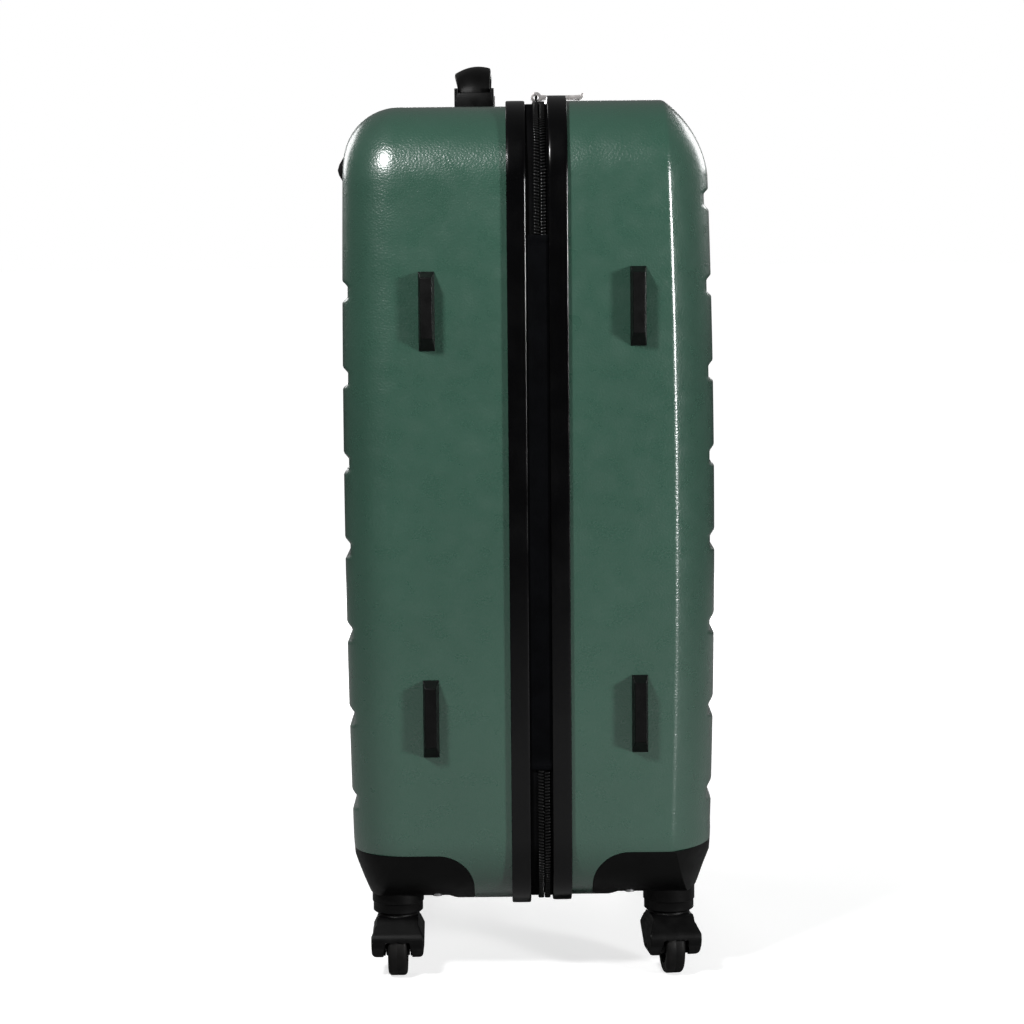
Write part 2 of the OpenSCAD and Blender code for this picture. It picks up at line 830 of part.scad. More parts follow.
module top_handle_brackets() { on_top() handle_brackets(); }
module top_handle_grip() { on_top() handle_grip(); }
module side_handle_brackets() { on_side() handle_brackets(); }
module side_handle_grip() { on_side() handle_grip(); }

// ---- Lock ----

lock_plate = 1.6;
lock_depth = 16;
dial_w = 5;
dial_y = [-22, -13.5, -5];
lock_button_y = 9;
lock_travel = 4;

module on_lid_top() {
    placed() translate([lock_x, 0, half_top(true)]) children();
}

module lock_hole() {
    on_lid_top() block([-lock_size[1] / 2 + 3, -lock_size[0] / 2 + 3, -lock_depth - 1],
                       [lock_size[1] / 2 - 3, lock_size[0] / 2 - 3, 5]);
}

module lock_case() {
    color(gloss_black) on_lid_top() difference() {
        union() {
            linear_extrude(lock_plate) rounded_rect(lock_size[1], lock_size[0], 4);
            block([-lock_size[1] / 2 + 3 + seat_gap, -lock_size[0] / 2 + 3 + seat_gap, -lock_depth],
                  [lock_size[1] / 2 - 3 - seat_gap, lock_size[0] / 2 - 3 - seat_gap, 0.5]);
        }
        for (y = dial_y) translate([0, y, lock_plate + 1 - dial_r]) rotate([90, 0, 0])
            cylinder(r = dial_r + 0.5, h = dial_w + 0.8, center = true);
        for (y = dial_y) block([-dial_r + 1, y - dial_w / 2 - 0.4, 0], [dial_r - 1, y + dial_w / 2 + 0.4, 5]);
        block([-4.3, lock_button_y - 5.3, -3], [4.3, lock_button_y + 5.3 + lock_travel, 5]);
        translate([0, lock_size[0] / 2 - 10, -2]) cylinder(r = 4, h = 10);
    }
}

module lock_dial(k) {
    color(steel) on_lid_top() translate([0, dial_y[k], lock_plate + 1 - dial_r]) rotate([90, 0, 0])
        cylinder(r = dial_r, h = dial_w, center = true);
}

module lock_button() {
    color(steel) on_lid_top() block([-4, lock_button_y - 5, -2.7], [4, lock_button_y + 5, lock_plate + 0.8]);
}

module lock_dial_1() { lock_dial(0); }
module lock_dial_2() { lock_dial(1); }
module lock_dial_3() { lock_dial(2); }

// ---- Lining and what it holds ----

module lined(front, inset) {
    floor_in = front ? front_floor_in : rear_floor_in;
    intersection() {
        stepped_tub(front, inset, false);
        block([-1, -case_w, -case_h],
              [half_depth(front) - floor_in - (inset - wall - seat_gap), case_w, case_h]);
    }
}

module lining(front) {
    color(cloth_grey) difference() {
        in_half(front) difference() {
            lined(front, wall + seat_gap);
            lined(front, wall + seat_gap + lining_t);
            block([-5, -case_w, -case_h], [frame_gap(front) + frame_w * 0.6 + seat_gap, case_w, case_h]);
        }
        if (front) on_lid_top() block([-lock_size[1] / 2, -lock_size[0] / 2, -lock_depth - 2],
                                      [lock_size[1] / 2, lock_size[0] / 2, 5]);
        else in_depth(false) block([cup_x - seat_gap, -bezel_w / 2 - seat_gap, cup_floor[0] - seat_gap],
                                   [rear_depth, bezel_w / 2 + seat_gap, half_top(false)]);
    }
}

module rear_lining() { lining(false); }
module front_lining() { lining(true); }

strap_x = 30;
strap_w = 25;
strap_t = 1.5;
buckle_size = [60, 44, 9];

module cross_straps() {
    reach = case_w / 2 - wall - seat_gap - lining_t;
    rise = case_h / 4;
    color(matt_black) in_half(false) for (sy = [-1, 1], sz = [-1, 1]) mirror([0, sy > 0 ? 0 : 1, 0])
        mirror([0, 0, sz > 0 ? 0 : 1]) intersection() {
            rotate([atan2(rise, reach), 0, 0])
                block([strap_x, 0, -strap_w / 2], [strap_x + strap_t, case_w, strap_w / 2]);
            block([0, buckle_size[0] / 2, strap_w / 4], [rear_depth, reach, case_h]);
        }
}

module strap_buckle() {
    color(gloss_black) in_half(false) translate([strap_x + strap_t / 2, 0, 0]) rotate([90, 0, 90])
        linear_extrude(buckle_size[2], center = true) rounded_rect(buckle_size[0], buckle_size[1], 8);
}

module mesh_pocket() {
    x = front_depth - front_floor_in - lining_t;
    half = [case_w / 2 - 75, case_h / 2 - 130];
    sheet = 1.2;
    color(cloth_grey) in_half(true) translate([x, 0, -60]) difference() {
        block([-5, -half[0], -half[1]], [0, half[0], half[1]]);
        block([-5 + sheet, -half[0] + 6, -half[1] + 6], [1, half[0] - 6, half[1] + 5]);
    }
}

rear_shell();
front_shell();
rear_frame();
front_frame();
rear_zip_tape();
front_zip_tape();
rear_zip_teeth();
front_zip_teeth();
hinge_strip();
zip_slider_hinge();
zip_slider_open();
zip_pull_hinge();
zip_pull_open();
rear_side_feet();
front_side_feet();
rear_swivel_pins();
front_swivel_pins();
rear_guard_screws();
front_guard_screws();
trolley_bezel();
trolley_outer_tubes();
trolley_middle_tubes();
trolley_inner_tubes();
trolley_grip();
trolley_button();
trolley_foot();
top_handle_brackets();
top_handle_grip();
side_handle_brackets();
side_handle_grip();
rear_lining();
front_lining();
cross_straps();
strap_buckle();
mesh_pocket();
lock_case();
lock_button();
lock_dial_1();
lock_dial_2();
lock_dial_3();
for (i = [0 : 3]) {
    guard(i);
    fork(i);
    axle(i);
    hub(i);
    tyre(i);
}
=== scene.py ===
"""A hard shell suitcase on spinner casters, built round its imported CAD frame.

Lengths are in millimetres until a mesh is made. Each half of the case has its own axes: u is the
depth from the parting plane, y the width from the middle, w the height from the half's middle.
"""

import math

import bmesh
import bpy
import numpy as np
from mathutils import Matrix, Vector


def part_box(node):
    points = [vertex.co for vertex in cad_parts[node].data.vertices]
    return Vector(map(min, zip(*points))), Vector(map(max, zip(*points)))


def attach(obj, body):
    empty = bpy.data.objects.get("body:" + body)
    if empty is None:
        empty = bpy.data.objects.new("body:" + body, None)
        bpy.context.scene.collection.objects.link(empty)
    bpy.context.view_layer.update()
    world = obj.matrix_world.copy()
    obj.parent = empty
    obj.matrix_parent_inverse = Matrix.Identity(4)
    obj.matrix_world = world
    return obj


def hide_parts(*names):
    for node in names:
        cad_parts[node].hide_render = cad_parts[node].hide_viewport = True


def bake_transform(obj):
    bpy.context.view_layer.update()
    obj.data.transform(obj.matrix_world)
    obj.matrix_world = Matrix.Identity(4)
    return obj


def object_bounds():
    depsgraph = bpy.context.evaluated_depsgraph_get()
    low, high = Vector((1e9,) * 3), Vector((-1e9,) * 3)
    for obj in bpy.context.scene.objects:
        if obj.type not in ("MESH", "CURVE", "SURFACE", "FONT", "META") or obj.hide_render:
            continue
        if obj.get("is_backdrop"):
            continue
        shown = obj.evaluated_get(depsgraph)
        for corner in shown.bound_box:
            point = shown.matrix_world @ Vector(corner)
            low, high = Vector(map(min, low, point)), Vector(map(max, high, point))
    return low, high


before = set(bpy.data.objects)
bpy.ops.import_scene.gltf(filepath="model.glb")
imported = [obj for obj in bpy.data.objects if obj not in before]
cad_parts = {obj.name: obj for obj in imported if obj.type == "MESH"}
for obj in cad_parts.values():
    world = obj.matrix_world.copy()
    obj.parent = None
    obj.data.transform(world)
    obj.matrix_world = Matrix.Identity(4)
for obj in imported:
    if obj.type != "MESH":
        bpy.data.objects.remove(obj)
cad_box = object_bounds()

MM = 0.001
# Sizes of the CAD that no node's box gives
CASTERS = ["rear_hinge", "rear_open", "front_hinge", "front_open"]
CORNER_R = 62.0
CREASE_R = 7.0
WALL = 3.0
GUARD_L = 105.0
GUARD_H = 47.5
GUARD_R = 30.0
WELL_H = 15.0
UNDERSIDE_RISE = 7.5
GAP = 0.35
FACE_EDGE_R = 45.0
GROOVE_PITCH = 70.8
# Further out than any part of the case
FAR_OUT = 400


def box_mm(*nodes):
    """Lowest and highest corner of some CAD nodes, in millimetres."""
    boxes = [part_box(n) for n in nodes]
    return (np.min([np.array(b[0]) for b in boxes], axis=0) / MM,
            np.max([np.array(b[1]) for b in boxes], axis=0) / MM)


PART_X = (box_mm("rear_zip_teeth")[1][0] + box_mm("front_zip_teeth")[0][0]) / 2
MID_Y = (box_mm("rear_shell")[0][1] + box_mm("rear_shell")[1][1]) / 2


# ---- Materials ----

def new_material(name, colour, rough, metallic=0.0, **extra):
    """A Principled material. Uniform values sit on the shader's own sockets."""
    mat = bpy.data.materials.new(name)
    mat.use_nodes = True
    shader = mat.node_tree.nodes["Principled BSDF"]
    shader.inputs["Base Color"].default_value = (*colour, 1)
    shader.inputs["Roughness"].default_value = rough
    shader.inputs["Metallic"].default_value = metallic
    for socket, value in extra.items():
        shader.inputs[socket.replace("_", " ")].default_value = value
    return mat


def node(mat, kind, **inputs):
    made = mat.node_tree.nodes.new(kind)
    for name, value in inputs.items():
        made.inputs[name.replace("_", " ")].default_value = value
    return made


def link(mat, a, a_socket, b, b_socket):
    mat.node_tree.links.new(a.outputs[a_socket], b.inputs[b_socket])


def coordinates(mat, stretch=(1, 1, 1)):
    place = node(mat, "ShaderNodeTexCoord")
    mapping = node(mat, "ShaderNodeMapping", Scale=stretch)
    link(mat, place, "Object", mapping, "Vector")
    return mapping


def bump(mat, sources, strength=1.0):
    """Chains bumps of (height node, its socket, height in mm) into the shader's normal."""
    shader = mat.node_tree.nodes["Principled BSDF"]
    last = None
    for source, socket, height in sources:
        step = node(mat, "ShaderNodeBump", Strength=strength, Distance=height * MM)
        link(mat, source, socket, step, "Height")
        if last:
            link(mat, last, "Normal", step, "Normal")
        last = step
    link(mat, last, "Normal", shader, "Normal")


def vary(mat, source, socket, slot, low, high, start=0.3, end=0.7):
    """Drives a shader socket from a texture, from low to high."""
    ramp = node(mat, "ShaderNodeMapRange", From_Min=start, From_Max=end, To_Min=low, To_Max=high)
    link(mat, source, socket, ramp, "Value")
    link(mat, ramp, "Result", mat.node_tree.nodes["Principled BSDF"], slot)


def tint(mat, source, socket, dark, light, start=0.3, end=0.7):
    """Varies the base colour between two tones with a texture."""
    ramp = mat.node_tree.nodes.new("ShaderNodeValToRGB")
    ramp.color_ramp.elements[0].position = start
    ramp.color_ramp.elements[1].position = end
    ramp.color_ramp.elements[0].color = (*dark, 1)
    ramp.color_ramp.elements[1].color = (*light, 1)
    link(mat, source, socket, ramp, "Fac")
    link(mat, ramp, "Color", mat.node_tree.nodes["Principled BSDF"], "Base Color")


def noise(mat, scale, detail=2.0, rough=0.5, stretch=(1, 1, 1)):
    made = node(mat, "ShaderNodeTexNoise", Scale=scale, Detail=detail, Roughness=rough)
    link(mat, coordinates(mat, stretch), "Vector", made, "Vector")
    return made


def cells(mat, scale, smoothness=0.6, stretch=(1, 1, 1)):
    made = mat.node_tree.nodes.new("ShaderNodeTexVoronoi")
    made.feature = "SMOOTH_F1"
    made.inputs["Scale"].default_value = scale
    made.inputs["Smoothness"].default_value = smoothness
    link(mat, coordinates(mat, stretch), "Vector", made, "Vector")
    return made


def shell_material():
    """Green ABS with a fine leather grain: small pebbles, and wider waves from the forming."""
    mat = new_material("shell_green", SHELL_GREEN, 0.30, Specular_IOR_Level=1.0,
                       Coat_Weight=1.0, Coat_Roughness=0.2)
    wide = noise(mat, 7, 3)
    tint(mat, wide, "Fac", [c * 0.94 for c in SHELL_GREEN], [c * 1.06 for c in SHELL_GREEN])
    vary(mat, noise(mat, 60, 4), "Fac", "Roughness", 0.25, 0.35)
    bump(mat, [(noise(mat, 28, 2), "Fac", 0.22),
               (cells(mat, 520, 0.5, (1, 1, 1.25)), "Distance", 0.17),
               (noise(mat, 700, 3, 0.6), "Fac", 0.15)])
    return mat


def gloss_black_material():
    mat = new_material("gloss_black", (0.0012, 0.0012, 0.0014), 0.16, Specular_IOR_Level=0.4)
    vary(mat, noise(mat, 35, 4), "Fac", "Roughness", 0.12, 0.24)
    bump(mat, [(noise(mat, 18, 2), "Fac", 0.12), (noise(mat, 900, 2), "Fac", 0.004)])
    return mat


def moulded_black_material(name, level=0.0022, rough=0.42, grain=0.05):
    """Spark-grained black plastic, a little lighter where it is rubbed."""
    mat = new_material(name, (level, level, level * 1.05), rough, Specular_IOR_Level=0.16)
    tint(mat, noise(mat, 45, 5), "Fac", [level * 0.8] * 3, [level * 1.25] * 3)
    vary(mat, noise(mat, 90, 4), "Fac", "Roughness", rough - 0.08, rough + 0.08)
    bump(mat, [(cells(mat, 1500), "Distance", grain), (noise(mat, 1100, 3), "Fac", grain * 0.8)])
    return mat


def woven_material(name, dark, light, pitch, height=0.12, rough=0.75):
    """A weave: waves along the three axes, one thread every pitch millimetres."""
    mat = new_material(name, light, rough, Specular_IOR_Level=0.03)
    threads = []
    for bands in ("X", "Y", "Z"):
        wave = node(mat, "ShaderNodeTexWave", Scale=0.314 / (pitch * MM), Distortion=0.6,
                    Detail=1, Detail_Scale=2)
        wave.wave_type = "BANDS"
        wave.bands_direction = bands
        link(mat, coordinates(mat), "Vector", wave, "Vector")
        threads.append((wave, "Fac", height))
    blotch = noise(mat, 55, 5)
    tint(mat, blotch, "Fac", dark, light)
    bump(mat, threads + [(noise(mat, 12, 3), "Fac", 0.8)])
    return mat


def metal_material(name, colour, rough, scratch=(1, 1, 1), grain=0.006, metallic=1.0):
    mat = new_material(name, colour, rough, metallic=metallic)
    vary(mat, noise(mat, 160, 5, stretch=scratch), "Fac", "Roughness", rough * 0.75, rough * 1.4)
    bump(mat, [(noise(mat, 500, 4, stretch=scratch), "Fac", grain)])
    return mat


def rubber_material():
    mat = new_material("tyre_rubber", (0.006, 0.006, 0.006), 0.5, Specular_IOR_Level=0.15)
    tint(mat, noise(mat, 70, 4), "Fac", (0.004, 0.004, 0.004), (0.010, 0.0095, 0.009))
    vary(mat, noise(mat, 120, 4), "Fac", "Roughness", 0.45, 0.7)
    bump(mat, [(noise(mat, 1400, 3), "Fac", 0.03)])
    return mat


SHELL_GREEN = (0.029, 0.083, 0.057)
M = {
    "shell": shell_material(),
    "gloss": gloss_black_material(),
    "moulded": moulded_black_material("moulded_black"),
    "smooth": moulded_black_material("smooth_black", 0.003, 0.28, 0.02),
    "grip": moulded_black_material("grip_rubber", 0.0025, 0.45, 0.07),
    "teeth": moulded_black_material("coil_nylon", 0.009, 0.2, 0.01),
    "tape": woven_material("zip_tape", (0.0015, 0.0015, 0.0015), (0.0035, 0.0035, 0.004),
                           0.7, 0.07),
    "strip": woven_material("hinge_strip", (0.0008, 0.0009, 0.0012), (0.0018, 0.0020, 0.0026),
                            0.5, 0.04, 0.7),
    "webbing": woven_material("webbing", (0.008, 0.008, 0.008), (0.018, 0.018, 0.019), 1.3, 0.2),
    "lining": woven_material("lining_cloth", (0.045, 0.048, 0.052), (0.065, 0.068, 0.073),
                             0.55, 0.05),
    "mesh": woven_material("pocket_mesh", (0.010, 0.010, 0.011), (0.028, 0.028, 0.030), 1.9, 0.5),
    "chrome": metal_material("polished_pull", (0.60, 0.57, 0.56), 0.26, metallic=0.6),
    "steel": metal_material("zinc_steel", (0.45, 0.45, 0.46), 0.35),
    "tube": metal_material("satin_tube", (0.58, 0.59, 0.60), 0.30, scratch=(6, 6, 0.2)),
    "rubber": rubber_material(),
    "dial": moulded_black_material("dial_grey", 0.30, 0.4, 0.02),
}


# ---- Mesh tools ----

def shade(obj, angle=35):
    obj.data.polygons.foreach_set("use_smooth", [True] * len(obj.data.polygons))
    obj.data.set_sharp_from_angle(angle=math.radians(angle))


def add_object(name, data):
    obj = bpy.data.objects.new(name, data)
    bpy.context.scene.collection.objects.link(obj)
    return obj


def cad_copy(name, cad_node):
    obj = add_object(name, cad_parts[cad_node].data.copy())
    obj.data.materials.clear()
    return obj


def mesh_object(name, points, faces):
    """An object from points in millimetres, its faces turned outwards.

    Corners that a face repeats are left out."""
    kept = []
    for face in faces:
        face = [int(v) for k, v in enumerate(face) if v != face[k - 1]]
        if len(set(face)) > 2:
            kept.append(face)
    mesh = bpy.data.meshes.new(name)
    mesh.from_pydata((np.asarray(points, float) * MM).tolist(), [], kept)
    bm = bmesh.new()
    bm.from_mesh(mesh)
    bmesh.ops.remove_doubles(bm, verts=bm.verts, dist=1e-6)
    loose = [v for v in bm.verts if not v.link_faces]
    bmesh.ops.delete(bm, geom=loose, context="VERTS")
    bmesh.ops.recalc_face_normals(bm, faces=bm.faces)
    bm.to_mesh(mesh)
    bm.free()
    return add_object(name, mesh)


def baked(obj):
    """Applies an object's modifiers to its mesh."""
    made = bpy.data.meshes.new_from_object(obj.evaluated_get(bpy.context.evaluated_depsgraph_get()))
    obj.modifiers.clear()
    old = obj.data
    obj.data = made
    made.name = obj.name
    bpy.data.meshes.remove(old)
    return obj


def boolean(obj, cutter, operation="DIFFERENCE"):
    step = obj.modifiers.new("cut", "BOOLEAN")
    step.object = cutter
    step.operation = operation
    step.solver = "EXACT"
    baked(obj)
    bpy.data.objects.remove(cutter)
    return obj


def joined(name, objects):
    """One object from several."""
    bm = bmesh.new()
    for o in objects:
        bm.from_mesh(o.data)
    mesh = bpy.data.meshes.new(name)
    bm.to_mesh(mesh)
    bm.free()
    for o in objects:
        bpy.data.objects.remove(o)
    return add_object(name, mesh)


def bevelled(obj, width, segments=2, angle=30):
    step = obj.modifiers.new("round", "BEVEL")
    step.width = width * MM
    step.segments = segments
    step.limit_method = "ANGLE"
    step.angle_limit = math.radians(angle)
    step.harden_normals = False
    return baked(obj)


def softened(name, cad_node, voxel, rounds=3, keep=0.35):
    """A copy of a CAD node with every edge rounded, as moulded plastic has it."""
    obj = cad_copy(name, cad_node)
    step = obj.modifiers.new("voxels", "REMESH")
    step.mode = "VOXEL"
    step.voxel_size = voxel * MM
    step = obj.modifiers.new("smooth", "SMOOTH")
    step.factor = 0.5
    step.iterations = rounds
    step = obj.modifiers.new("lean", "DECIMATE")
    step.ratio = keep
    return baked(obj)


def finished(obj, material, body, replaces=(), slot=None, angle=35):
    """Gives a piece its shading, material and body, and hides the CAD nodes it stands for."""
    shade(obj, angle)
    obj.data.materials.clear()
    obj.data.materials.append(M[material])
    if body:
        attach(obj, body)
    if replaces:
        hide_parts(*replaces)
    return obj


def prism(name, outline, axis, low, high):
    """A prism from a 2D outline: its plane is YZ for axis x, XZ for y and XY for z."""
    n = len(outline)
    order = {"x": lambda a, b, t: (t, a, b),
             "y": lambda a, b, t: (a, t, b),
             "z": lambda a, b, t: (a, b, t)}
    points = [order[axis](a, b, t) for t in (low, high) for a, b in outline]
    faces = [list(range(n)), list(range(n, 2 * n))]
    faces += [(k, (k + 1) % n, n + (k + 1) % n, n + k) for k in range(n)]
    return mesh_object(name, points, faces)


def strips(rings, closed_ring=True, closed_path=False):
    """Faces between rings of equal length, numbered in order."""
    n = len(rings[0])
    faces = []
    count = len(rings) if closed_path else len(rings) - 1
    for j in range(count):
        a, b = j * n, ((j + 1) % len(rings)) * n
        for k in range(n if closed_ring else n - 1):
            faces.append((a + k, a + (k + 1) % n, b + (k + 1) % n, b + k))
    return faces


def loft(name, rings, caps=True):
    """A skin over rings of equal length, with its ends closed."""
    rings = [np.asarray(r, float) for r in rings]
    faces = strips(rings)
    if caps:
        n, total = len(rings[0]), len(rings) * len(rings[0])
        faces += [list(range(n)), list(range(total - n, total))]
    return mesh_object(name, np.vstack(rings), faces)


def rounded_rect(w, h, r, steps=4, centre=(0, 0)):
    """Points of a rounded rectangle, anticlockwise from its right side. r is one radius or four."""
    radii = [r] * 4 if np.isscalar(r) else r
    points = []
    for k, (sx, sy) in enumerate([(1, 1), (-1, 1), (-1, -1), (1, -1)]):
        for a in np.linspace(0, 90, steps + 1) + 90 * k:
            c = (sx * (w / 2 - radii[k]), sy * (h / 2 - radii[k]))
            points.append((centre[0] + c[0] + radii[k] * math.cos(math.radians(a)),
                           centre[1] + c[1] + radii[k] * math.sin(math.radians(a))))
    return np.array(points)


def lathe(name, profile, centre, axis, segments=48):
    """Turns a closed profile of (radius, height) points about an axis through centre."""
    axis = Vector(axis).normalized()
    side = axis.orthogonal().normalized()
    other = axis.cross(side)
    rings = []
    for k in range(segments):
        a = 2 * math.pi * k / segments
        out = side * math.cos(a) + other * math.sin(a)
        rings.append([Vector(centre) + out * r + axis * h for r, h in profile])
    return mesh_object(name, np.vstack([np.array(r) for r in rings]),
                       strips(rings, closed_ring=True, closed_path=True))


def direction(path, k):
    """The path's direction at its point k."""
    tangent = path[min(k + 1, len(path) - 1)] - path[max(k - 1, 0)]
    return tangent / np.linalg.norm(tangent)


def mirrored(profile):
    """A profile of (radius, height) points with its mirror image added."""
    return profile + [(a, -b) for a, b in reversed(profile)]


def sheet_faces(n, m):
    """Faces of a thin sheet: two grids of n rows and m columns, and the rim between them."""
    def at(side, i, j):
        return side * n * m + i * m + j
    faces = [(at(s, i, j), at(s, i, j + 1), at(s, i + 1, j + 1), at(s, i + 1, j))
             for i in range(n - 1) for j in range(m - 1) for s in (0, 1)]
    rim = [(0, j) for j in range(m - 1)] + [(i, m - 1) for i in range(n - 1)]
    rim += [(n - 1, j) for j in range(m - 1, 0, -1)] + [(i, 0) for i in range(n - 1, 0, -1)]
    return faces + [(at(0, *a), at(0, *b), at(1, *b), at(1, *a))
                    for a, b in zip(rim, rim[1:] + rim[:1])]


def sweep(name, path, section, up):
    """Sweeps a 2D section along a path. The section's first axis is across, its second along up."""
    path = np.asarray(path, float)
    rings = []
    for k, p in enumerate(path):
        tangent = direction(path, k)
        across = np.cross(tangent, up)
        across /= np.linalg.norm(across)
        lift = np.cross(across, tangent)
        rings.append([p + across * a + lift * b for a, b in section])
    return loft(name, rings)


def smooth_path(points, per=8):
    """A Catmull-Rom curve through points."""
    points = [np.array(p, float) for p in points]
    points = [2 * points[0] - points[1], *points, 2 * points[-1] - points[-2]]
    made = []
    for a, b, c, d in zip(points, points[1:], points[2:], points[3:]):
        for t in np.arange(per) / per:
            made.append(0.5 * (2 * b + (c - a) * t + (2 * a - 5 * b + 4 * c - d) * t * t
                               + (3 * b - a - 3 * c + d) * t ** 3))
    return np.array([*made, points[-2]])


# ---- The two halves' form ----

# Rows of points from a groove's middle
GROOVE_ROWS = (-11, -9.5, -8.3, -7, -5.6, -4.6, -4, -2, 0, 2, 4, 4.6, 5.6, 7, 8.3, 9.5, 11)


class Half:
    """One half of the case: its sizes, and how deep its face lies at each place."""

    def __init__(self, front):
        self.front = front
        self.name = "front" if front else "rear"
        self.body = self.name + "_half"
        self.sign = 1 if front else -1
        low, high = box_mm(self.name + "_shell")
        self.depth = high[0] - PART_X if front else PART_X - low[0]
        self.rim = low[0] - PART_X if front else PART_X - high[0]
        self.half_w = (high[1] - low[1]) / 2
        self.half_h = (high[2] - low[2]) / 2
        self.mid_z = (high[2] + low[2]) / 2
        self.bottom = self.mid_z - self.half_h
        self.x_face = PART_X + self.sign * self.depth
        self.crown = 7.0 if front else 4.4
        self.crown_shift = self.half_h * (-0.06 if front else 0.10)
        self.edge = (85.0, 69.0) if front else (FACE_EDGE_R, FACE_EDGE_R)
        first = 82.0 if front else 151.0
        count = int((2 * self.half_h - first - GUARD_H - 30) // GROOVE_PITCH) + 1
        self.grooves = [self.half_h - first - GROOVE_PITCH * k for k in range(count)]
        frame_low, frame_high = box_mm(self.name + "_frame")
        self.frame_u = [abs(frame_low[0] - PART_X), abs(frame_high[0] - PART_X)]
        self.frame_u.sort()
        self.proud = self.half_w * -1 + (frame_high[1] - frame_low[1]) / 2

    def place(self, points):
        """Own (u, y, w) axes to the frame."""
        p = np.asarray(points, float)
        return np.stack([PART_X + self.sign * p[:, 0], MID_Y + p[:, 1], self.mid_z + p[:, 2]],
                        axis=1)

    def recede(self, w):
        """How far the bowed face lies behind its fullest point."""
        r = (self.half_h ** 2 + self.crown ** 2) / (2 * self.crown)
        return r - np.sqrt(r * r - (w - self.crown_shift) ** 2)

    def loss(self, s, foot, t, guard=False):
        """Depth lost at the rounded edge, s in from the outline, t under the outer surface."""
        def arc(r, length):
            return r - np.sqrt(np.maximum((r - t) ** 2 - np.maximum(length - s, 0) ** 2, 0))
        radius, length = self.edge
        side = arc(radius, length)
        if guard:
            taper = np.interp(s - t, [0, 7.5, 12, 27, 36.5, 47.5], [12.2, 10.6, 9, 4.2, 0.5, 0])
            return side * (1 - foot) + (taper + t) * foot
        if not self.front:
            return side
        if t == 0:
            # The crease where the bevel starts is rounded too
            lean = math.acos(length / radius)
            soft = CREASE_R - s
            arced = np.sqrt(np.maximum(CREASE_R ** 2 - soft ** 2, 0)) - s / math.tan(lean)
            side = side + np.where(s < CREASE_R * (1 - math.cos(lean)),
                                   CREASE_R * math.tan(lean / 2) - arced, 0)
        return side * (1 - foot) + arc(FACE_EDGE_R, FACE_EDGE_R) * foot

    def groove(self, w):
        """Depth of the face grooves at each height."""
        mouth, floor, deep = 19.0, 8.0, 5.0
        total = np.zeros_like(w)
        for g in self.grooves:
            t = np.clip((np.abs(w - g) - floor / 2) / ((mouth - floor) / 2), 0, 1)
            total = np.maximum(total, deep * (1 - t * t * (3 - 2 * t)))
        return total

    def face(self, s, foot, w, t=0.0, grooved=True, guard=False):
        """Depth of the face's surface."""
        edge = self.loss(s, foot, t, guard) - t
        cut = self.groove(w) if grooved else np.zeros_like(w)
        soft = np.minimum(2.5, 2 * np.minimum(edge, cut)) + 1e-6
        both = np.maximum(edge, cut) + np.maximum(soft - np.abs(edge - cut), 0) ** 2 / (4 * soft)
        return self.depth - t - self.recede(w) - both

    def levels(self, fine):
        """Heights of the rows of points on the straight part of the sides."""
        top = self.half_h - CORNER_R
        rows = set(np.round(np.linspace(-top, top, 47 if fine else 9), 3))
        if fine:
            for g in self.grooves:
                near = {r for r in rows if abs(r - g) < 12 and abs(abs(r) - top) > 0.01}
                rows = (rows - near) | {round(g + d, 3) for d in GROOVE_ROWS}
        rows = {r for r in rows if abs(r) <= top + 0.01}
        return np.array(sorted(rows))


def outline(half, inset, zs, ys, arc_steps):
    """Points round the half's outline moved in by inset: y, w and how far each is a foot point."""
    r = max(CORNER_R - inset, 0)
    cy, cw = half.half_w - CORNER_R, half.half_h - CORNER_R
    angles = np.linspace(0, 90, arc_steps + 1)
    sides = [[(y, cw + r, 0) for y in ys[1:-1][::-1]], [(-cy - r, z, 0) for z in zs[1:-1][::-1]],
             [(y, -cw - r, 1) for y in ys[1:-1]], [(cy + r, z, 0) for z in zs[1:-1]]]
    points = []
    for k, (sy, sw) in enumerate([(1, 1), (-1, 1), (-1, -1), (1, -1)]):
        for a in angles:
            t = math.radians(a + 90 * k)
            share = (0, 0, a / 90, 1 - a / 90)[k]
            points.append((sy * cy + r * math.cos(t), sw * cw + r * math.sin(t), share))
        points += sides[k]
    return np.array(points)


ARC_STEPS = 16
RING_INSETS = [0, 0.08, 0.34, 0.76, 1.32, 2.8, 5.2, 8.4, 12, 16, 20.5, 25.5, 31, 37, 43, 49, 55.5]


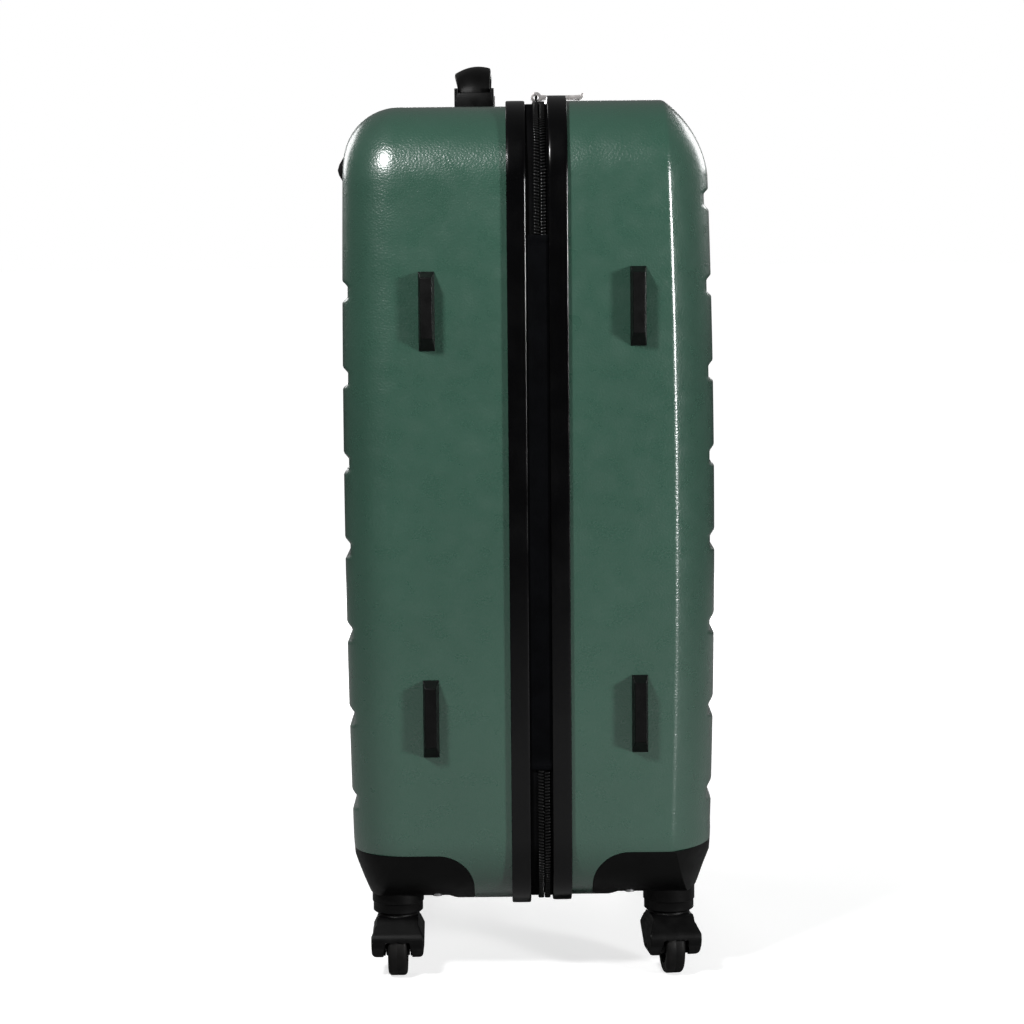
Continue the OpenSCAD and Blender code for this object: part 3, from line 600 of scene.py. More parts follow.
def skin(half, t=0.0, fine=True, floor=math.inf, rim=None, guard=False):
    """The outer skin of a half, t in from the surface, from its rim over its edge to its face.

    Returns its points, its faces and how many points are on its rim."""
    zs = half.levels(fine)
    top = half.half_w - CORNER_R
    ys = np.linspace(-top, top, 25 if fine else 9)
    rings = []
    rim = half.rim if rim is None else rim
    insets = [t + s * (CORNER_R - t) / CORNER_R for s in RING_INSETS]
    first = outline(half, t, zs, ys, ARC_STEPS)
    walls = [0, 0.33, 0.66] if fine else [0, 0.5]
    edge = half.face(np.full(len(first), t), first[:, 2], first[:, 1], t, fine, guard)
    edge = np.minimum(edge, floor)
    for k in walls:
        rings.append(np.stack([rim + k * (edge - rim), first[:, 0], first[:, 1]], axis=1))
    for s in insets:
        at = outline(half, s, zs, ys, ARC_STEPS)
        u = half.face(np.full(len(at), s), at[:, 2], at[:, 1], t, fine, guard)
        rings.append(np.stack([np.minimum(u, floor), at[:, 0], at[:, 1]], axis=1))
    points = list(np.vstack(rings))
    faces = strips(rings)
    # The middle is a grid, whose rim the last ring's faces run to
    base = len(points)
    grid_y, grid_z = np.meshgrid(ys, zs)
    side = np.minimum(half.half_w - np.abs(grid_y), half.half_h - grid_z)
    u = half.face(side.ravel(), np.zeros(side.size), grid_z.ravel(), t, fine)
    points += list(np.stack([np.minimum(u, floor), grid_y.ravel(), grid_z.ravel()], axis=1))
    rows, cols = len(zs), len(ys)

    def at_grid(row, col):
        return base + row * cols + col
    faces += [(at_grid(i, j), at_grid(i, j + 1), at_grid(i + 1, j + 1), at_grid(i + 1, j))
              for i in range(rows - 1) for j in range(cols - 1)]
    end_row, end_col = rows - 1, cols - 1
    corners = [(end_row, end_col), (end_row, 0), (0, 0), (0, end_col)]
    runs = [[(end_row, j) for j in range(cols - 2, 0, -1)], [(i, 0) for i in range(rows - 2, 0, -1)],
            [(0, j) for j in range(1, end_col)], [(i, end_col) for i in range(1, end_row)]]
    border = []
    for corner, run in zip(corners, runs):
        border += [at_grid(*corner)] * (ARC_STEPS + 1) + [at_grid(*place) for place in run]
    n = len(first)
    last = (len(rings) - 1) * n
    faces += [(last + k, last + (k + 1) % n, border[(k + 1) % n], border[k]) for k in range(n)]
    return np.array(points), faces, n


def skin_solid(half, name, t=0.0, guard=False):
    """A half as one solid, closed across its rim, for cutting."""
    points, faces, n = skin(half, t, fine=False, guard=guard)
    return mesh_object(name, half.place(points), faces + [list(range(n))])


def shell_object(half):
    """The shell: an outer and an inner skin joined round the rim."""
    outer, faces, n = skin(half)
    inner, inner_faces, _ = skin(half, WALL)
    shift = len(outer)
    faces = faces + [[v + shift for v in f] for f in inner_faces]
    faces += [(k, (k + 1) % n, shift + (k + 1) % n, shift + k) for k in range(n)]
    return mesh_object(half.name + "_shell_skin", half.place(np.vstack([outer, inner])), faces)


def corner_zone(half, side, grow):
    """The corner that a wheel guard covers, as a solid."""
    beyond = 25.0
    size = GUARD_L + grow
    height = GUARD_H + grow
    arc = [(-size + GUARD_R * (1 - math.cos(a)), height - GUARD_R * (1 - math.sin(a)))
           for a in np.linspace(0, math.pi / 2, 13)]
    shape = [(-size, -beyond), *arc, (beyond, height), (beyond, -beyond)]
    y_wall = MID_Y + side * half.half_w
    along = prism("zone", [(half.x_face + half.sign * a, half.bottom + b) for a, b in shape], "y",
                  MID_Y - FAR_OUT, MID_Y + FAR_OUT)
    across = prism("zone_y", [(y_wall + side * a, half.bottom + b) for a, b in shape], "x",
                   -FAR_OUT, FAR_OUT)
    return boolean(along, across, "INTERSECT")


HALVES = [Half(False), Half(True)]


def box_object(low, high):
    low, high = np.minimum(low, high), np.maximum(low, high)
    corners = [(low[0], low[1]), (high[0], low[1]), (high[0], high[1]), (low[0], high[1])]
    return prism("box", corners, "z", low[2], high[2])


def make_shell(half):
    shell = shell_object(half)
    zones = [corner_zone(half, side, GAP) for side in (-1, 1)]
    boolean(shell, joined("zones", zones))
    if half.front:
        low, high = box_mm("lock_case")
        boolean(shell, box_object(low + [3, 3, 0], high + [-3, -3, 5]))
    else:
        low, high = box_mm("trolley_bezel")
        grip_low, _ = box_mm("trolley_grip")
        boolean(shell, box_object([low[0] - 20, low[1] + 2, grip_low[2] - 7],
                                  [high[0] - 2, high[1] - 2, high[2] + 20]))
    finished(shell, "shell", half.body, [half.name + "_shell"], "shell", 50)
    return shell


def make_guard(half, side):
    """A wheel guard: the shell's corner form, with a tapered lower edge and a raised underside."""
    name = half.name + ("_hinge" if side < 0 else "_open")
    guard = boolean(skin_solid(half, name + "_guard_body", guard=True),
                    corner_zone(half, side, 0), "INTERSECT")
    behind = float(half.recede(np.array([GUARD_H - half.half_h]))[0])
    under = [(-GUARD_L - 5, GUARD_H + 5), (5, GUARD_H + 5), (-behind + 0.4, GUARD_H),
             (-behind, GUARD_H - 11), (-behind - 4.4, 27), (-behind - 9, 12),
             (-14.2, UNDERSIDE_RISE), (-GUARD_L + 21, UNDERSIDE_RISE),
             (-GUARD_L + 12, 1.5), (-GUARD_L + 8, -0.5), (-GUARD_L - 5, -0.5)]
    keep = prism("under", [(half.x_face + half.sign * a, half.bottom + b) for a, b in under], "y",
                 MID_Y - FAR_OUT, MID_Y + FAR_OUT)
    boolean(guard, keep, "INTERSECT")
    hollow = skin_solid(half, "hollow", WALL, guard=True)
    room = box_object([-FAR_OUT, -FAR_OUT, half.bottom + WELL_H + WALL],
                      [FAR_OUT, FAR_OUT, half.bottom + 2 * half.half_h])
    boolean(guard, boolean(hollow, room, "INTERSECT"))
    pins_low, pins_high = box_mm(half.name + "_swivel_pins")
    pin_y = pins_low[1] + 7 if side < 0 else pins_high[1] - 7
    z = box_mm(name + "_guard")[0][2]
    neck = [(4.05, z), (20.2, z), (21, z + 0.8), (21, z + 7.8), (21.3, z + 8.4), (21.8, z + 8.8),
            (21.8, z + 22), (4.05, z + 22)]
    post = lathe("neck", neck, ((pins_low[0] + pins_high[0]) / 2, pin_y, 0), (0, 0, 1), 64)
    boolean(guard, post, "UNION")
    return finished(guard, "moulded", half.body, [name + "_guard"], "guard", 30)


# ---- Edge frames, zip and hinge strip ----

class Loop:
    """A rounded outline that parts run round: half its width and height, and its mid height."""

    def __init__(self, node_name):
        low, high = box_mm(node_name)
        self.half_w = (high[1] - low[1]) / 2
        self.half_h = (high[2] - low[2]) / 2
        self.mid_z = (high[2] + low[2]) / 2


def ring_sweep(name, loop, profile, arc_steps=24):
    """A ring round a loop from a closed profile of (x in the frame, distance out from the loop)."""
    ys = np.linspace(-(loop.half_w - CORNER_R), loop.half_w - CORNER_R, 9)
    zs = np.linspace(-(loop.half_h - CORNER_R), loop.half_h - CORNER_R, 13)
    rings = []
    for x, out in profile:
        at = outline(loop, -out, zs, ys, arc_steps)
        rings.append(np.stack([np.full(len(at), x), MID_Y + at[:, 0], loop.mid_z + at[:, 1]],
                              axis=1))
    return mesh_object(name, np.vstack(rings), strips(rings, True, True))


def make_frame(half):
    """The glossy edge frame: a bowed face, small edge radii, and legs astride the shell's wall."""
    x0, x1 = half.frame_u
    p = half.proud
    profile = [(x0 + 0.2, p - 1.0), (x0 + 0.6, p - 0.45), (x0 + 1.3, p - 0.12), (x0 + 3, p)]
    profile += [(x0 + 16 * k, p) for k in (0.35, 0.5, 0.65)]
    profile += [(x1 - 3, p - 0.03), (x1 - 1.0, p - 0.1), (x1 - 0.45, p - 0.28),
                (x1 - 0.12, p - 0.7), (x1, p - 1.4), (x1, 0.05), (x0 + 2, 0.05),
                (x0 + 2, -WALL - 0.05), (x0 + 9.4, -WALL - 0.05), (x0 + 9.4, -WALL - 1.8),
                (x0, -WALL - 1.8), (x0, p - 2.4)]
    made = ring_sweep(half.name + "_edge_frame", half,
                      [(PART_X + half.sign * u, out) for u, out in profile])
    return finished(made, "gloss", half.body, [half.name + "_frame"], "frame", 40)


for half in HALVES:
    make_shell(half)
    make_frame(half)
    for side in (-1, 1):
        make_guard(half, side)


def walk(loop, pitch, offset):
    """Evenly spaced places round a loop: a point (y, z), and the outward and forward directions."""
    cy, cz, r = loop.half_w - CORNER_R, loop.half_h - CORNER_R, CORNER_R
    quarter = math.pi * r / 2
    legs = []
    for k, (sy, sz) in enumerate([(1, 1), (-1, 1), (-1, -1), (1, -1)]):
        legs.append(("arc", quarter, sy * cy, sz * cz, k))
        legs.append(("run", 2 * cy if k % 2 == 0 else 2 * cz, sy * cy, sz * cz, k + 1))
    total = sum(leg[1] for leg in legs)
    count = int(total / pitch)
    for place in (np.arange(count) + offset) * total / count:
        for kind, length, y, z, k in legs:
            if place <= length:
                break
            place -= length
        turn = math.pi / 2 * k + (place / r if kind == "arc" else 0)
        out = np.array([math.cos(turn), math.sin(turn)])
        ahead = np.array([-out[1], out[0]])
        at = np.array([y, z]) + out * r + (ahead * place if kind == "run" else 0)
        yield at + [MID_Y, loop.mid_z], out, ahead


def make_teeth(half, loop, skip):
    """One row of zip teeth: slanted coils with rounded ends that reach the parting line."""
    stations = [(0, 0.5, 0.5), (0.45, 0.9, 1.0), (2.4, 0.9, 1.12), (4.1, 0.72, 1.0),
                (4.75, 0.35, 0.5)]
    section = [(math.cos(a), math.sin(a)) for a in np.arange(6) * math.pi / 3]
    far = abs(box_mm(half.name + "_zip_teeth")[1 if half.front else 0][0] - PART_X)
    points, faces = [], []
    for at, out, ahead in walk(loop, 2.6, 0.5 if half.front else 0.0):
        if out[0] < -0.99 and skip[0] < at[1] < skip[1]:
            continue
        base = len(points)
        for depth, wide, tall in stations:
            x = PART_X + half.sign * (far - depth)
            for a, b in section:
                p = at + ahead * (a * wide + 0.13 * depth) + out * (1.25 + b * tall)
                points.append((x, p[0], p[1]))
        for j in range(len(stations) - 1):
            at = base + j * 6
            faces += [(at + k, at + (k + 1) % 6, at + 6 + (k + 1) % 6, at + 6 + k)
                      for k in range(6)]
        end = base + (len(stations) - 1) * 6
        faces += [tuple(range(base, base + 6)), tuple(range(end, end + 6))]
    row = mesh_object(half.name + "_zip_coil", points, faces)
    return finished(row, "teeth", half.body, [half.name + "_zip_teeth"], "zip_teeth", 60)


def make_tape(half):
    """A woven tape with a raised cord beside the teeth."""
    name = half.name + "_zip_tape"
    low, high = box_mm(name)
    near, far = (low[0], high[0]) if half.front else (high[0], low[0])
    s = half.sign
    profile = [(near, -0.1), (near + s * 4.6, -0.1), (near + s * 5.0, 0), (far - s * 0.8, 0),
               (far, -0.3), (far, -1.1), (near, -1.1)]
    tape = ring_sweep(name + "_woven", Loop(name), profile)
    return finished(tape, "tape", half.body, [name], "zip_tape", 40)


def make_strip():
    """The cloth hinge over the closed side, with a folded hem at each end."""
    low, high = box_mm("hinge_strip")
    xs = np.linspace(low[0], high[0], 17)
    rows = np.concatenate([[0, 0.35, 0.9, 4.5, 5.2], np.linspace(9, high[2] - low[2] - 9, 84),
                           high[2] - low[2] - np.array([5.2, 4.5, 0.9, 0.35, 0])])
    points = []
    for side in (0, 1):
        for z in rows:
            end = min(z, high[2] - low[2] - z)
            hem = 0.35 * min(end / 0.9, 1) if end < 4.8 else 0
            for x in xs:
                t = (x - low[0]) / (high[0] - low[0])
                edge = min(t, 1 - t) * (high[0] - low[0])
                bow = 0.30 * math.sin(math.pi * t) + 0.22 * math.exp(-((edge - 1.9) / 0.7) ** 2)
                wave = 0.10 * math.sin(z * 0.31 + 3 * t) * math.sin(math.pi * t)
                lift = (0.15 + bow + hem + wave - 0.75) if side else -0.05
                y = low[1] - lift if side else high[1] + lift
                points.append((x, y, low[2] + z))
    cloth = mesh_object("hinge_strip_cloth", points, sheet_faces(len(rows), len(xs)))
    strip = finished(cloth, "strip", None, ["hinge_strip"], "zip_tape", 60)
    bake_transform(strip)
    return low[2], high[2]


strip_span = make_strip()
for half in HALVES:
    make_tape(half)
    make_teeth(half, Loop("rear_zip_tape"), strip_span)


def rounded(name, cad_node, width, segments=2):
    """A copy of a CAD node with its edges bevelled."""
    obj = cad_copy(name, cad_node)
    bm = bmesh.new()
    bm.from_mesh(obj.data)
    bmesh.ops.remove_doubles(bm, verts=bm.verts, dist=2e-6)
    bmesh.ops.dissolve_limit(bm, angle_limit=math.radians(0.6), verts=bm.verts, edges=bm.edges)
    bm.to_mesh(obj.data)
    bm.free()
    return bevelled(obj, width, segments, 28)


# ---- Zip sliders and their pulls ----

def make_slider(which):
    low, high = box_mm("zip_slider_" + which)
    mid = (low + high) / 2
    bar_z = (box_mm("zip_pull_" + which)[0][2] + box_mm("zip_pull_" + which)[1][2]) / 2
    w, l = (high[0] - low[0]) / 2, (high[1] - low[1]) / 2
    outline_pts = [(w * 0.62, l), (w, l * 0.72), (w * 0.96, l * 0.2), (w * 0.70, -l * 0.5),
                   (w * 0.62, -l * 0.93), (w * 0.45, -l)]
    plate = [(mid[0] + x, mid[1] + y) for x, y in outline_pts]
    plate += [(mid[0] - x, mid[1] + y) for x, y in reversed(outline_pts)]
    body = bevelled(prism("plate", plate, "z", low[2], low[2] + 2.3), 0.55, 3)
    flange = [bevelled(box_object([mid[0] + s * w * 0.93, mid[1] - l * 0.2, low[2] + 0.2],
                                  [mid[0] + s * w * 0.62, mid[1] + l * 0.7, low[2] + 3.4]), 0.5, 2)
              for s in (-1, 1)]
    arch = [(-7.0, low[2] + 1.6), (-6.6, low[2] + 5.4), (-4.3, bar_z - 0.3), (0, bar_z - 0.15)]
    arch += [(-y, z) for y, z in arch[-2::-1]]
    path = smooth_path([(mid[0], mid[1] + y, z) for y, z in arch], 6)
    bridge = sweep("bridge", path, rounded_rect(3.2, 2.2, 0.8, 3), up=(1, 0, 0.001))
    return finished(joined("zip_slider_body_" + which, [body, bridge, *flange]), "smooth",
                    f"slider_{which}_side", ["zip_slider_" + which], "slider", 40)


def make_pull(which):
    """A polished pull: a ribbed ring round the slider's bar, and a plate with a turned-up tip."""
    low, high = box_mm("zip_pull_" + which)
    mid = (low + high) / 2
    r_out = (high[2] - low[2]) / 2
    x_ring = low[0] + r_out
    ribs = [(2.5, -4.9)]
    for k in range(7):
        y = -4.6 + k * 1.54
        ribs += [(r_out - 0.75, y - 0.33), (r_out - 0.1, y - 0.15),
                 (r_out - 0.1, y + 0.15), (r_out - 0.75, y + 0.33)]
    ribs += [(2.5, 4.9)]
    ring = lathe("ring", ribs, (x_ring, mid[1], mid[2]), (0, 1, 0), 40)
    top, under = mid[2] + 1.5, mid[2] - 1.5
    x1 = high[0]
    side = [(x_ring + 3.6, mid[2] + 2.2), (x_ring + 6.5, top + 0.25), (x_ring + 11, top),
            (x1 - 8, top), (x1 - 4, top + 0.5), (x1 - 1.6, top + 2.3), (x1 - 0.5, top + 2.6), (x1, top + 1.9),
            (x1 - 1.2, under + 1.2), (x1 - 4.4, under - 0.7), (x1 - 8, under - 0.3),
            (x_ring + 11, under), (x_ring + 6.5, under - 0.25), (x_ring + 3.6, mid[2] - 2.2)]
    plate = bevelled(prism("flat", side, "y", low[1] + 0.3, high[1] - 0.3), 0.35, 2, 25)
    panel = box_object([x_ring + 13, mid[1] - 3, mid[2] - 2], [x1 - 12, mid[1] + 3, mid[2] + 2])
    boolean(plate, bevelled(panel, 1.2, 3))
    pull = joined("zip_pull_plate_" + which, [ring, plate])
    return finished(pull, "chrome", f"pull_{which}_side", ["zip_pull_" + which], "pull_metal", 35)


for which in ("hinge", "open"):
    make_slider(which)
    make_pull(which)

# ---- Feet, handles, lock and trolley ----

for half in HALVES:
    feet = half.name + "_side_feet"
    finished(softened(half.name + "_side_foot_pads", feet, 0.5, 4, 0.3), "grip", half.body,
             [feet], "black_plastic", 40)


def make_grip(name, cad_node, body, lift, along):
    """A carrying handle: a domed band that arches up from its brackets and leans to the rear.

    lift is the frame axis it rises along, along the one it runs along."""
    low, high = box_mm(cad_node)
    mid = (low + high) / 2
    rise = high[lift] - low[lift]
    half_l = (high[along] - low[along]) / 2
    outward = -1 if lift == 2 else 1
    shape = [(1 - 4.3 / half_l, 0.04), (1 - 4.4 / half_l, 0.25), (1 - 6.5 / half_l, 0.48),
             (1 - 15 / half_l, 0.72), (0.66, 0.855), (0.35, 0.885), (0, 0.890)]
    shape = [(-a, b) for a, b in shape] + [(a, b) for a, b in reversed(shape[:-1])]
    points = []
    for a, b in shape:
        p = mid.copy()
        p[along] += a * half_l
        p[lift] = low[lift] + b * rise
        p[0] -= 2.6 * max(b - 0.3, 0)
        points.append(p)
    path = smooth_path(points, 7)
    half_w = 15.5
    dome = [(3.9 - 3.7 * t * t, t * half_w) for t in np.linspace(-0.97, 0.97, 13)]
    under = [(-0.6, half_w), (-2.4, half_w - 0.5), (-3.4, half_w - 2), (-3.0, half_w - 5),
             (-2.7, 0), (-3.0, 5 - half_w), (-3.4, 2 - half_w), (-2.4, 0.5 - half_w), (-0.6, -half_w)]
    rings = []
    for k, at in enumerate(path):
        out = np.cross(direction(path, k), (1, 0, 0)) * outward
        up = min(max((at[lift] - low[lift]) / rise - 0.35, 0) / 0.45, 1)
        wide, lean = 0.86 + 0.14 * up, 0.15 * up
        rings.append([at + out * (u + lean * v) + np.array([1, 0, 0]) * v * wide
                      for u, v in dome + under])
    return finished(loft(name, rings), "grip", body, [cad_node], "grip_rubber", 60)


def make_mounts(where, lift, along):
    """A handle's brackets, each closed at its outer end by a sloped plate."""
    cad_node = where + "_handle_brackets"
    low, high = box_mm(cad_node)
    mid = (low[0] + high[0]) / 2
    base = low[lift]
    face = [(mid - 16.8, base), (mid - 15.2, base + 14.6), (mid - 14.2, base + 15.4),
            (mid + 14.2, base + 15.4), (mid + 15.2, base + 14.6), (mid + 16.8, base)]
    plates = []
    for a, b in ((low[along], low[along] + 2.4), (high[along] - 2.4, high[along])):
        plates.append(bevelled(prism("plate", face, "y" if along == 1 else "z", a, b), 0.7, 3))
    mounts = joined(where + "_handle_mounts", [rounded("mount", cad_node, 0.9, 3), *plates])
    return finished(mounts, "moulded", "rear_half", [cad_node], "black_plastic", 30)


make_grip("top_handle_band", "top_handle_grip", "top_handle", 2, 1)
make_grip("side_handle_band", "side_handle_grip", "side_handle", 1, 2)
make_mounts("top", 2, 1)
make_mounts("side", 1, 2)

# Name, CAD node, bevel and its steps, material, body and slot
ROUNDED = [
    ("trolley_bezel_cup", "trolley_bezel", 1.0, 3, "moulded", "rear_half", "black_plastic"),
    ("trolley_grip_bar", "trolley_grip", 1.6, 4, "grip", "trolley_top", "grip_rubber"),
    ("trolley_push_button", "trolley_button", 0.8, 3, "smooth", "trolley_release", "button"),
    ("lock_housing", "lock_case", 0.5, 3, "smooth", "front_half", "lock_body"),
    ("lock_slide", "lock_button", 0.6, 3, "steel", "lock_release", "lock_body"),
]
for name, cad_node, width, steps, material, body, slot in ROUNDED:
    finished(rounded(name, cad_node, width, steps), material, body, [cad_node], slot, 30)


def make_dial(k):
    """A combination dial with ten finger notches round its edge."""
    node_name = f"lock_dial_{k}"
    low, high = box_mm(node_name)
    mid = (low + high) / 2
    r, w = (high[0] - low[0]) / 2, (high[1] - low[1]) / 2
    rings = []
    edge = [(-w, 0.6), (-w + 0.35, 0.1), (-w + 0.8, 0)]
    for y, inset in edge + [(-y, inset) for y, inset in reversed(edge)]:
        ring = []
        for s in range(80):
            a = 2 * math.pi * s / 80
            notch = 0.55 * max(0, math.cos(10 * a)) ** 6
            out = r - inset - notch
            ring.append((mid[0] + out * math.sin(a), mid[1] + y, mid[2] + out * math.cos(a)))
        rings.append(ring)
    return finished(loft(node_name + "_wheel", rings), "dial", f"dial_{k}", [node_name], "dial", 40)


for k in (1, 2, 3):
    make_dial(k)


# ---- Casters ----

def principal_axis(cad_node):
    """Middle and long direction of a pin-like CAD node, in millimetres."""
    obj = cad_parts[cad_node]
    p = np.array([obj.matrix_world @ v.co for v in obj.data.vertices]) / MM
    low, high = box_mm(cad_node)
    _, axes = np.linalg.eigh(np.cov((p - p.mean(axis=0)).T))
    axis = axes[:, -1] * (1 if axes[0, -1] > 0 else -1)
    axis[2] = 0
    return (low + high) / 2, axis / np.linalg.norm(axis)


def make_fork(c, centre, axis):
    """The fork: the CAD form softened, drawn in at its neck, with an arch over the wheel."""
    fork = softened(c + "_fork_yoke", c + "_fork", 0.55, 3, 0.3)
    high = box_mm(c + "_fork")[1][2]
    for v in fork.data.vertices:
        across = (v.co.x / MM - centre[0]) * axis[0] + (v.co.y / MM - centre[1]) * axis[1]
        up = min(max((v.co.z / MM - (high - 15)) / 5, 0), 1)
        v.co.x -= axis[0] * across * 0.11 * up * MM
        v.co.y -= axis[1] * across * 0.11 * up * MM
    side = Vector((axis[0], axis[1], 0))
    ahead = Vector((side.y, -side.x, 0))
    arch = [(-12.2 * math.cos(a), 20.5 + 12.6 * math.sin(a)) for a in np.linspace(0, math.pi, 17)]
    mouth = [(-12.2, -2), *arch, (12.2, -2)]
    start = Vector((centre[0], centre[1], 0)) + ahead * 4
    rings = [[start + side * a + Vector((0, 0, b)) + ahead * d for a, b in mouth] for d in (0, 40)]
    boolean(fork, loft("mouth", rings))
    return finished(fork, "moulded", c + "_swivel", [c + "_fork"], "fork", 40)


def make_wheel(c):
    mid, axis = principal_axis(c + "_axle")
    low, high = box_mm(c + "_tyre")
    r, w = (high[2] - low[2]) / 2, 8.0
    centre = (mid[0], mid[1], (low[2] + high[2]) / 2)
    tyre = [(14.0, -w + 0.4), (r - 5.2, -w + 0.4), (r - 4.7, -w)]
    tyre += [(r - 3.2 + 3.2 * math.cos(a), -w + 3.2 + 3.2 * math.sin(a))
             for a in np.linspace(-1.45, 0, 8)]
    tyre += [(r, -0.5), (r - 0.12, -0.25)]
    hub = [(3.15, -9.9), (5.6, -9.9), (6.0, -9.4), (6.3, -5.6), (11.4, -5.0), (12.0, -6.4),
           (13.6, -6.5), (14.0, -6.0)]
    half_l = 20.25
    pin = [(0.01, -half_l), (2.2, -half_l), (2.9, -half_l + 0.5), (3.0, -half_l + 1.0)]
    for name, profile, steps, material, body, part, slot in [
            ("_tyre_tread", tyre, 72, "rubber", "_wheel", "_tyre", "tyre"),
            ("_hub_disc", hub, 64, "smooth", "_wheel", "_hub", "hub"),
            ("_axle_pin", pin, 32, "steel", "_swivel", "_axle", "steel")]:
        finished(lathe(c + name, mirrored(profile), centre, axis, steps), material, c + body,
                 [c + part], slot, 40)
    make_fork(c, centre, axis)


for c in CASTERS:
    make_wheel(c)


# ---- Lining, straps and pocket ----

def make_lining(half):
    name = half.name + "_lining"
    low, high = box_mm(name)
    floor = abs((high if half.front else low)[0] - PART_X)
    rim = abs((low if half.front else high)[0] - PART_X)
    layers = []
    for t, deep in ((WALL + 0.3, floor), (WALL + 1.6, floor - 1.4)):
        points, faces, n = skin(half, t, fine=False, floor=deep,
                                rim=rim if t < WALL + 1 else rim - 5)
        layer = mesh_object("layer", half.place(points), faces + [list(range(n))])
        bottom = half.bottom + WELL_H + WALL + (t - WALL)
        grow = GUARD_L + t
        wells = [box_object([half.x_face - half.sign * grow, MID_Y + s * (half.half_w - grow), 0],
                            [half.x_face + half.sign * 20, MID_Y + s * (half.half_w + 20), bottom])
                 for s in (-1, 1)]
        layers.append(boolean(layer, joined("wells", wells)))
    lining = boolean(layers[0], layers[1])
    if half.front:
        a, b = box_mm("lock_case")
        boolean(lining, box_object([a[0] - 1, a[1] - 1, a[2] - 1], [b[0] + 1, b[1] + 1, b[2] + 5]))
    else:
        a, b = box_mm("trolley_bezel")
        cup = box_mm("trolley_outer_tubes")[1][2]
        boolean(lining, box_object([a[0], a[1] - 0.5, cup - 0.5],
                                   [b[0] + 0.5, b[1] + 0.5, b[2] + 5]))
    finished(lining, "lining", half.body, [name], "lining", 40)


for half in HALVES:
    make_lining(half)


def make_straps():
    """Two crossed straps: four webbing arms from the buckle to the sides, sagging a little."""
    low, high = box_mm("cross_straps")
    buckle_low, buckle_high = box_mm("strap_buckle")
    x = (low[0] + high[0]) / 2
    mid_z = (low[2] + high[2]) / 2
    half_inner = HALVES[0].half_w - WALL - 1.6
    arms, total = [], 0
    for sy in (-1, 1):
        for sz in (-1, 1):
            start = np.array([x, MID_Y + sy * (buckle_high[1] - buckle_low[1]) / 2 * 0.8,
                              mid_z + sz * 14.5])
            end = np.array([x, MID_Y + sy * (half_inner - 0.8),
                            mid_z + sz * ((high[2] - low[2]) / 2 - 18)])
            points = [start + (end - start) * t + np.array([-1.6 * math.sin(math.pi * t), 0, 0])
                      for t in np.linspace(0, 1, 12)]
            tilt = np.linalg.norm(end - start) / abs(end[1] - start[1])
            section = rounded_rect(1.4, 25, 0.6, 2)
            arms.append(loft("arm", [[p + np.array([a, 0, b * tilt]) for a, b in section]
                                     for p in points]))
            total += np.linalg.norm(end - start)
    straps = joined("cross_strap_webbing", arms)
    finished(straps, "webbing", "rear_half", ["cross_straps"], "webbing", 50)


make_straps()
finished(rounded("strap_clip", "strap_buckle", 1.4, 3), "smooth", "rear_half", ["strap_buckle"],
         "black_plastic", 30)


def make_pocket():
    """A mesh pocket: a cloth panel held at its sides and foot, with a thick hem at its open top."""
    low, high = box_mm("mesh_pocket")
    ys, zs = np.linspace(low[1], high[1], 37), np.linspace(low[2], high[2], 45)
    points = []
    for side in (0, 1):
        for z in zs:
            for y in ys:
                u = abs(2 * (y - low[1]) / (high[1] - low[1]) - 1)
                v = (z - low[2]) / (high[2] - low[2])
                rise = (1 - u ** 8) * (1 - (1 - v) ** 10)
                fold = 0.35 * math.sin(y * 0.11 + 2 * math.sin(z * 0.02)) * rise
                hem = 0.5 if v > 0.965 else 0
                x = high[0] - 0.9 - (high[0] - low[0] - 1.9) * rise - fold * 0.6
                points.append((x + (0.45 if side else -0.45 - hem), y, z))
    cloth = mesh_object("mesh_pocket_cloth", points, sheet_faces(len(zs), len(ys)))
    pocket = finished(cloth, "mesh", "front_half", ["mesh_pocket"], "pocket_mesh", 50)


make_pocket()

# CAD nodes that are shown as they are
CARRIED = {
    "tube": ["trolley_outer_tubes", "trolley_middle_tubes", "trolley_inner_tubes"],
    "moulded": ["trolley_foot"],
    "steel": ["rear_swivel_pins", "front_swivel_pins", "rear_guard_screws", "front_guard_screws"],
}
for material, cad_nodes in CARRIED.items():
    for name in cad_nodes:
        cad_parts[name].data.materials.clear()
        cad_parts[name].data.materials.append(M[material])


# ---- Camera, lights and floor ----

def add_light(name, towards, distance, size, power, target):
    light = bpy.data.lights.new(name, "AREA")
    light.energy = power
    light.size = size
    obj = add_object(name, light)
    obj.location = Vector(target) + Vector(towards).normalized() * distance
    obj.rotation_euler = (Vector(target) - obj.location).to_track_quat("-Z", "Y").to_euler()


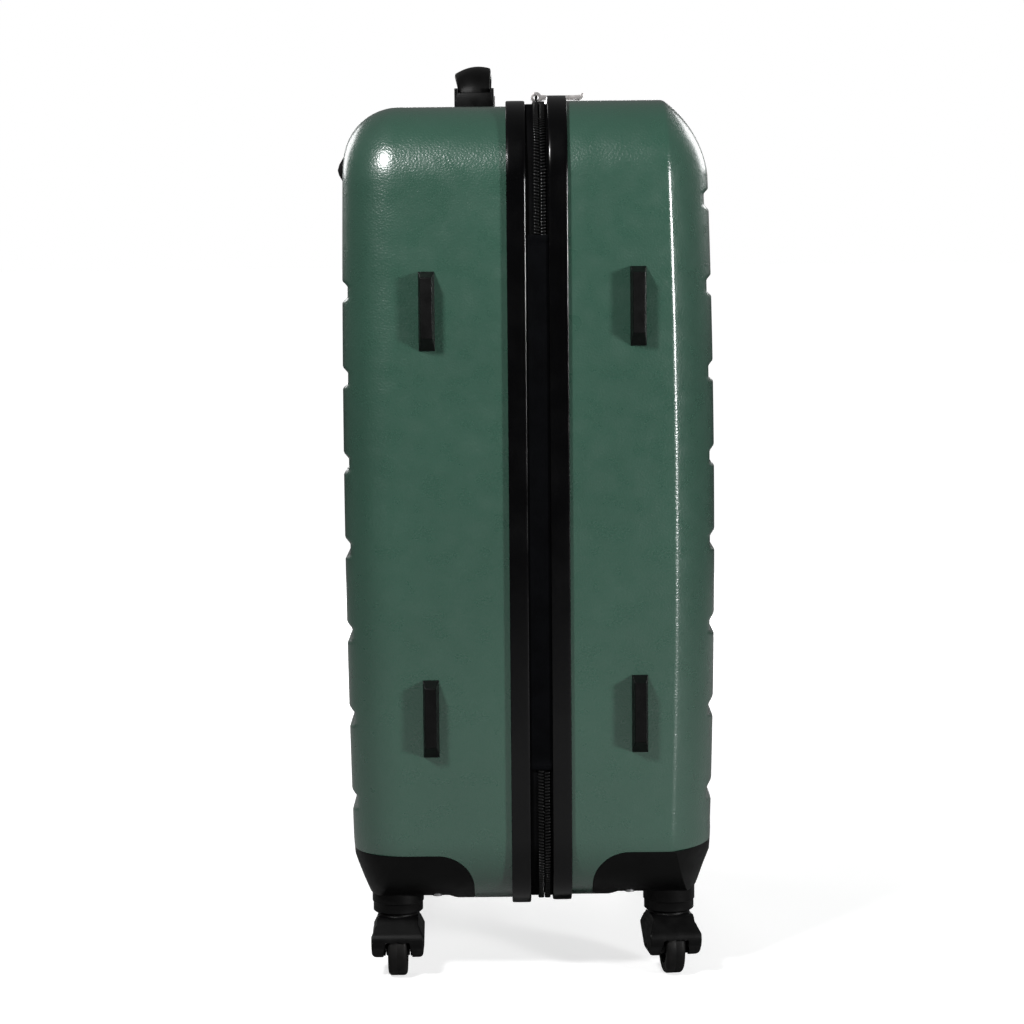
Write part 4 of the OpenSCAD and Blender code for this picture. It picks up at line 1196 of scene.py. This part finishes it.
def floor_material():
    """A pale floor that fades to white away from the case, and throws little light back up."""
    mat = new_material("pale_floor", (0.55, 0.55, 0.55), 0.7)
    lit = mat.node_tree.nodes["Principled BSDF"]
    reach = mat.node_tree.nodes.new("ShaderNodeVectorMath")
    reach.operation = "LENGTH"
    link(mat, coordinates(mat), "Vector", reach, 0)
    fade = node(mat, "ShaderNodeMapRange", From_Min=0.35, From_Max=1.3, To_Min=0.70, To_Max=1.0)
    link(mat, reach, "Value", fade, "Value")
    glow = node(mat, "ShaderNodeEmission")
    link(mat, fade, "Result", glow, "Strength")
    seen = node(mat, "ShaderNodeAddShader")
    link(mat, lit, 0, seen, 0)
    link(mat, glow, 0, seen, 1)
    dim = node(mat, "ShaderNodeBsdfDiffuse", Color=(0.30, 0.30, 0.30, 1))
    ray = node(mat, "ShaderNodeLightPath")
    mix = node(mat, "ShaderNodeMixShader")
    link(mat, ray, "Is Camera Ray", mix, 0)
    link(mat, dim, 0, mix, 1)
    link(mat, seen, 0, mix, 2)
    link(mat, mix, 0, mat.node_tree.nodes["Material Output"], "Surface")
    return mat


def make_stage():
    scene = bpy.context.scene
    scene.view_settings.view_transform = "Standard"
    centre = Vector((0, 0, cad_box[1][2] / 2))
    camera = bpy.data.cameras.new("camera")
    camera.lens = 99.5
    camera.clip_end = 50
    eye = add_object("camera", camera)
    eye.location = (-0.0116, -2.5625, 0.6412)
    pitch, roll = math.radians(6.07), math.radians(-0.51)
    right, up = Vector((1, 0, 0)), Vector((0, math.sin(pitch), math.cos(pitch)))
    ahead = Vector((0, math.cos(pitch), -math.sin(pitch)))
    across = right * math.cos(roll) + up * math.sin(roll)
    upright = up * math.cos(roll) - right * math.sin(roll)
    eye.rotation_mode = "QUATERNION"
    eye.rotation_quaternion = Matrix((across, upright, -ahead)).transposed().to_quaternion()
    scene.camera = eye

    floor = bpy.data.meshes.new("floor")
    bm = bmesh.new()
    bmesh.ops.create_circle(bm, cap_ends=True, radius=30, segments=96)
    bm.to_mesh(floor)
    bm.free()
    ground = add_object("floor", floor)
    floor.materials.append(floor_material())
    ground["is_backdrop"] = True

    add_light("key_right", (0.76, -0.64, 0.07), 2.1, 0.28, 33, centre + Vector((0, -0.2, 0.12)))
    add_light("key_left", (-0.42, -0.64, 0.64), 1.8, 0.24, 27, centre + Vector((0, -0.2, 0.0)))
    for side in (-1, 1):
        add_light(f"rim_{side}", (side * 0.75, 0.9, 0.45), 2.2, 0.8, 6, centre)
    add_light("back", (0, 1, 0.08), 2.4, 0.8, 14, centre)

    world = bpy.data.worlds.new("world")
    world.use_nodes = True
    scene.world = world
    nodes = world.node_tree.nodes
    seen = nodes["Background"]
    seen.inputs["Color"].default_value = (1, 1, 1, 1)
    seen.inputs["Strength"].default_value = 1.0
    around = node(world, "ShaderNodeBackground")
    place = node(world, "ShaderNodeTexCoord")
    split = node(world, "ShaderNodeSeparateXYZ")
    ramp = node(world, "ShaderNodeMapRange", From_Min=-0.9, From_Max=0.6, To_Min=0.015, To_Max=0.16)
    link(world, place, "Generated", split, 0)
    link(world, split, "Y", ramp, "Value")
    link(world, ramp, "Result", around, "Strength")
    mix = node(world, "ShaderNodeMixShader")
    ray = node(world, "ShaderNodeLightPath")
    link(world, ray, "Is Camera Ray", mix, "Fac")
    link(world, around, 0, mix, 1)
    link(world, seen, 0, mix, 2)
    link(world, mix, 0, nodes["World Output"], "Surface")


make_stage()


def write_sizes():
    boxes = {"cad": cad_box, "visual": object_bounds()}
    {k: [list(b[0]), list(b[1])] for k, b in boxes.items()}


write_sizes()
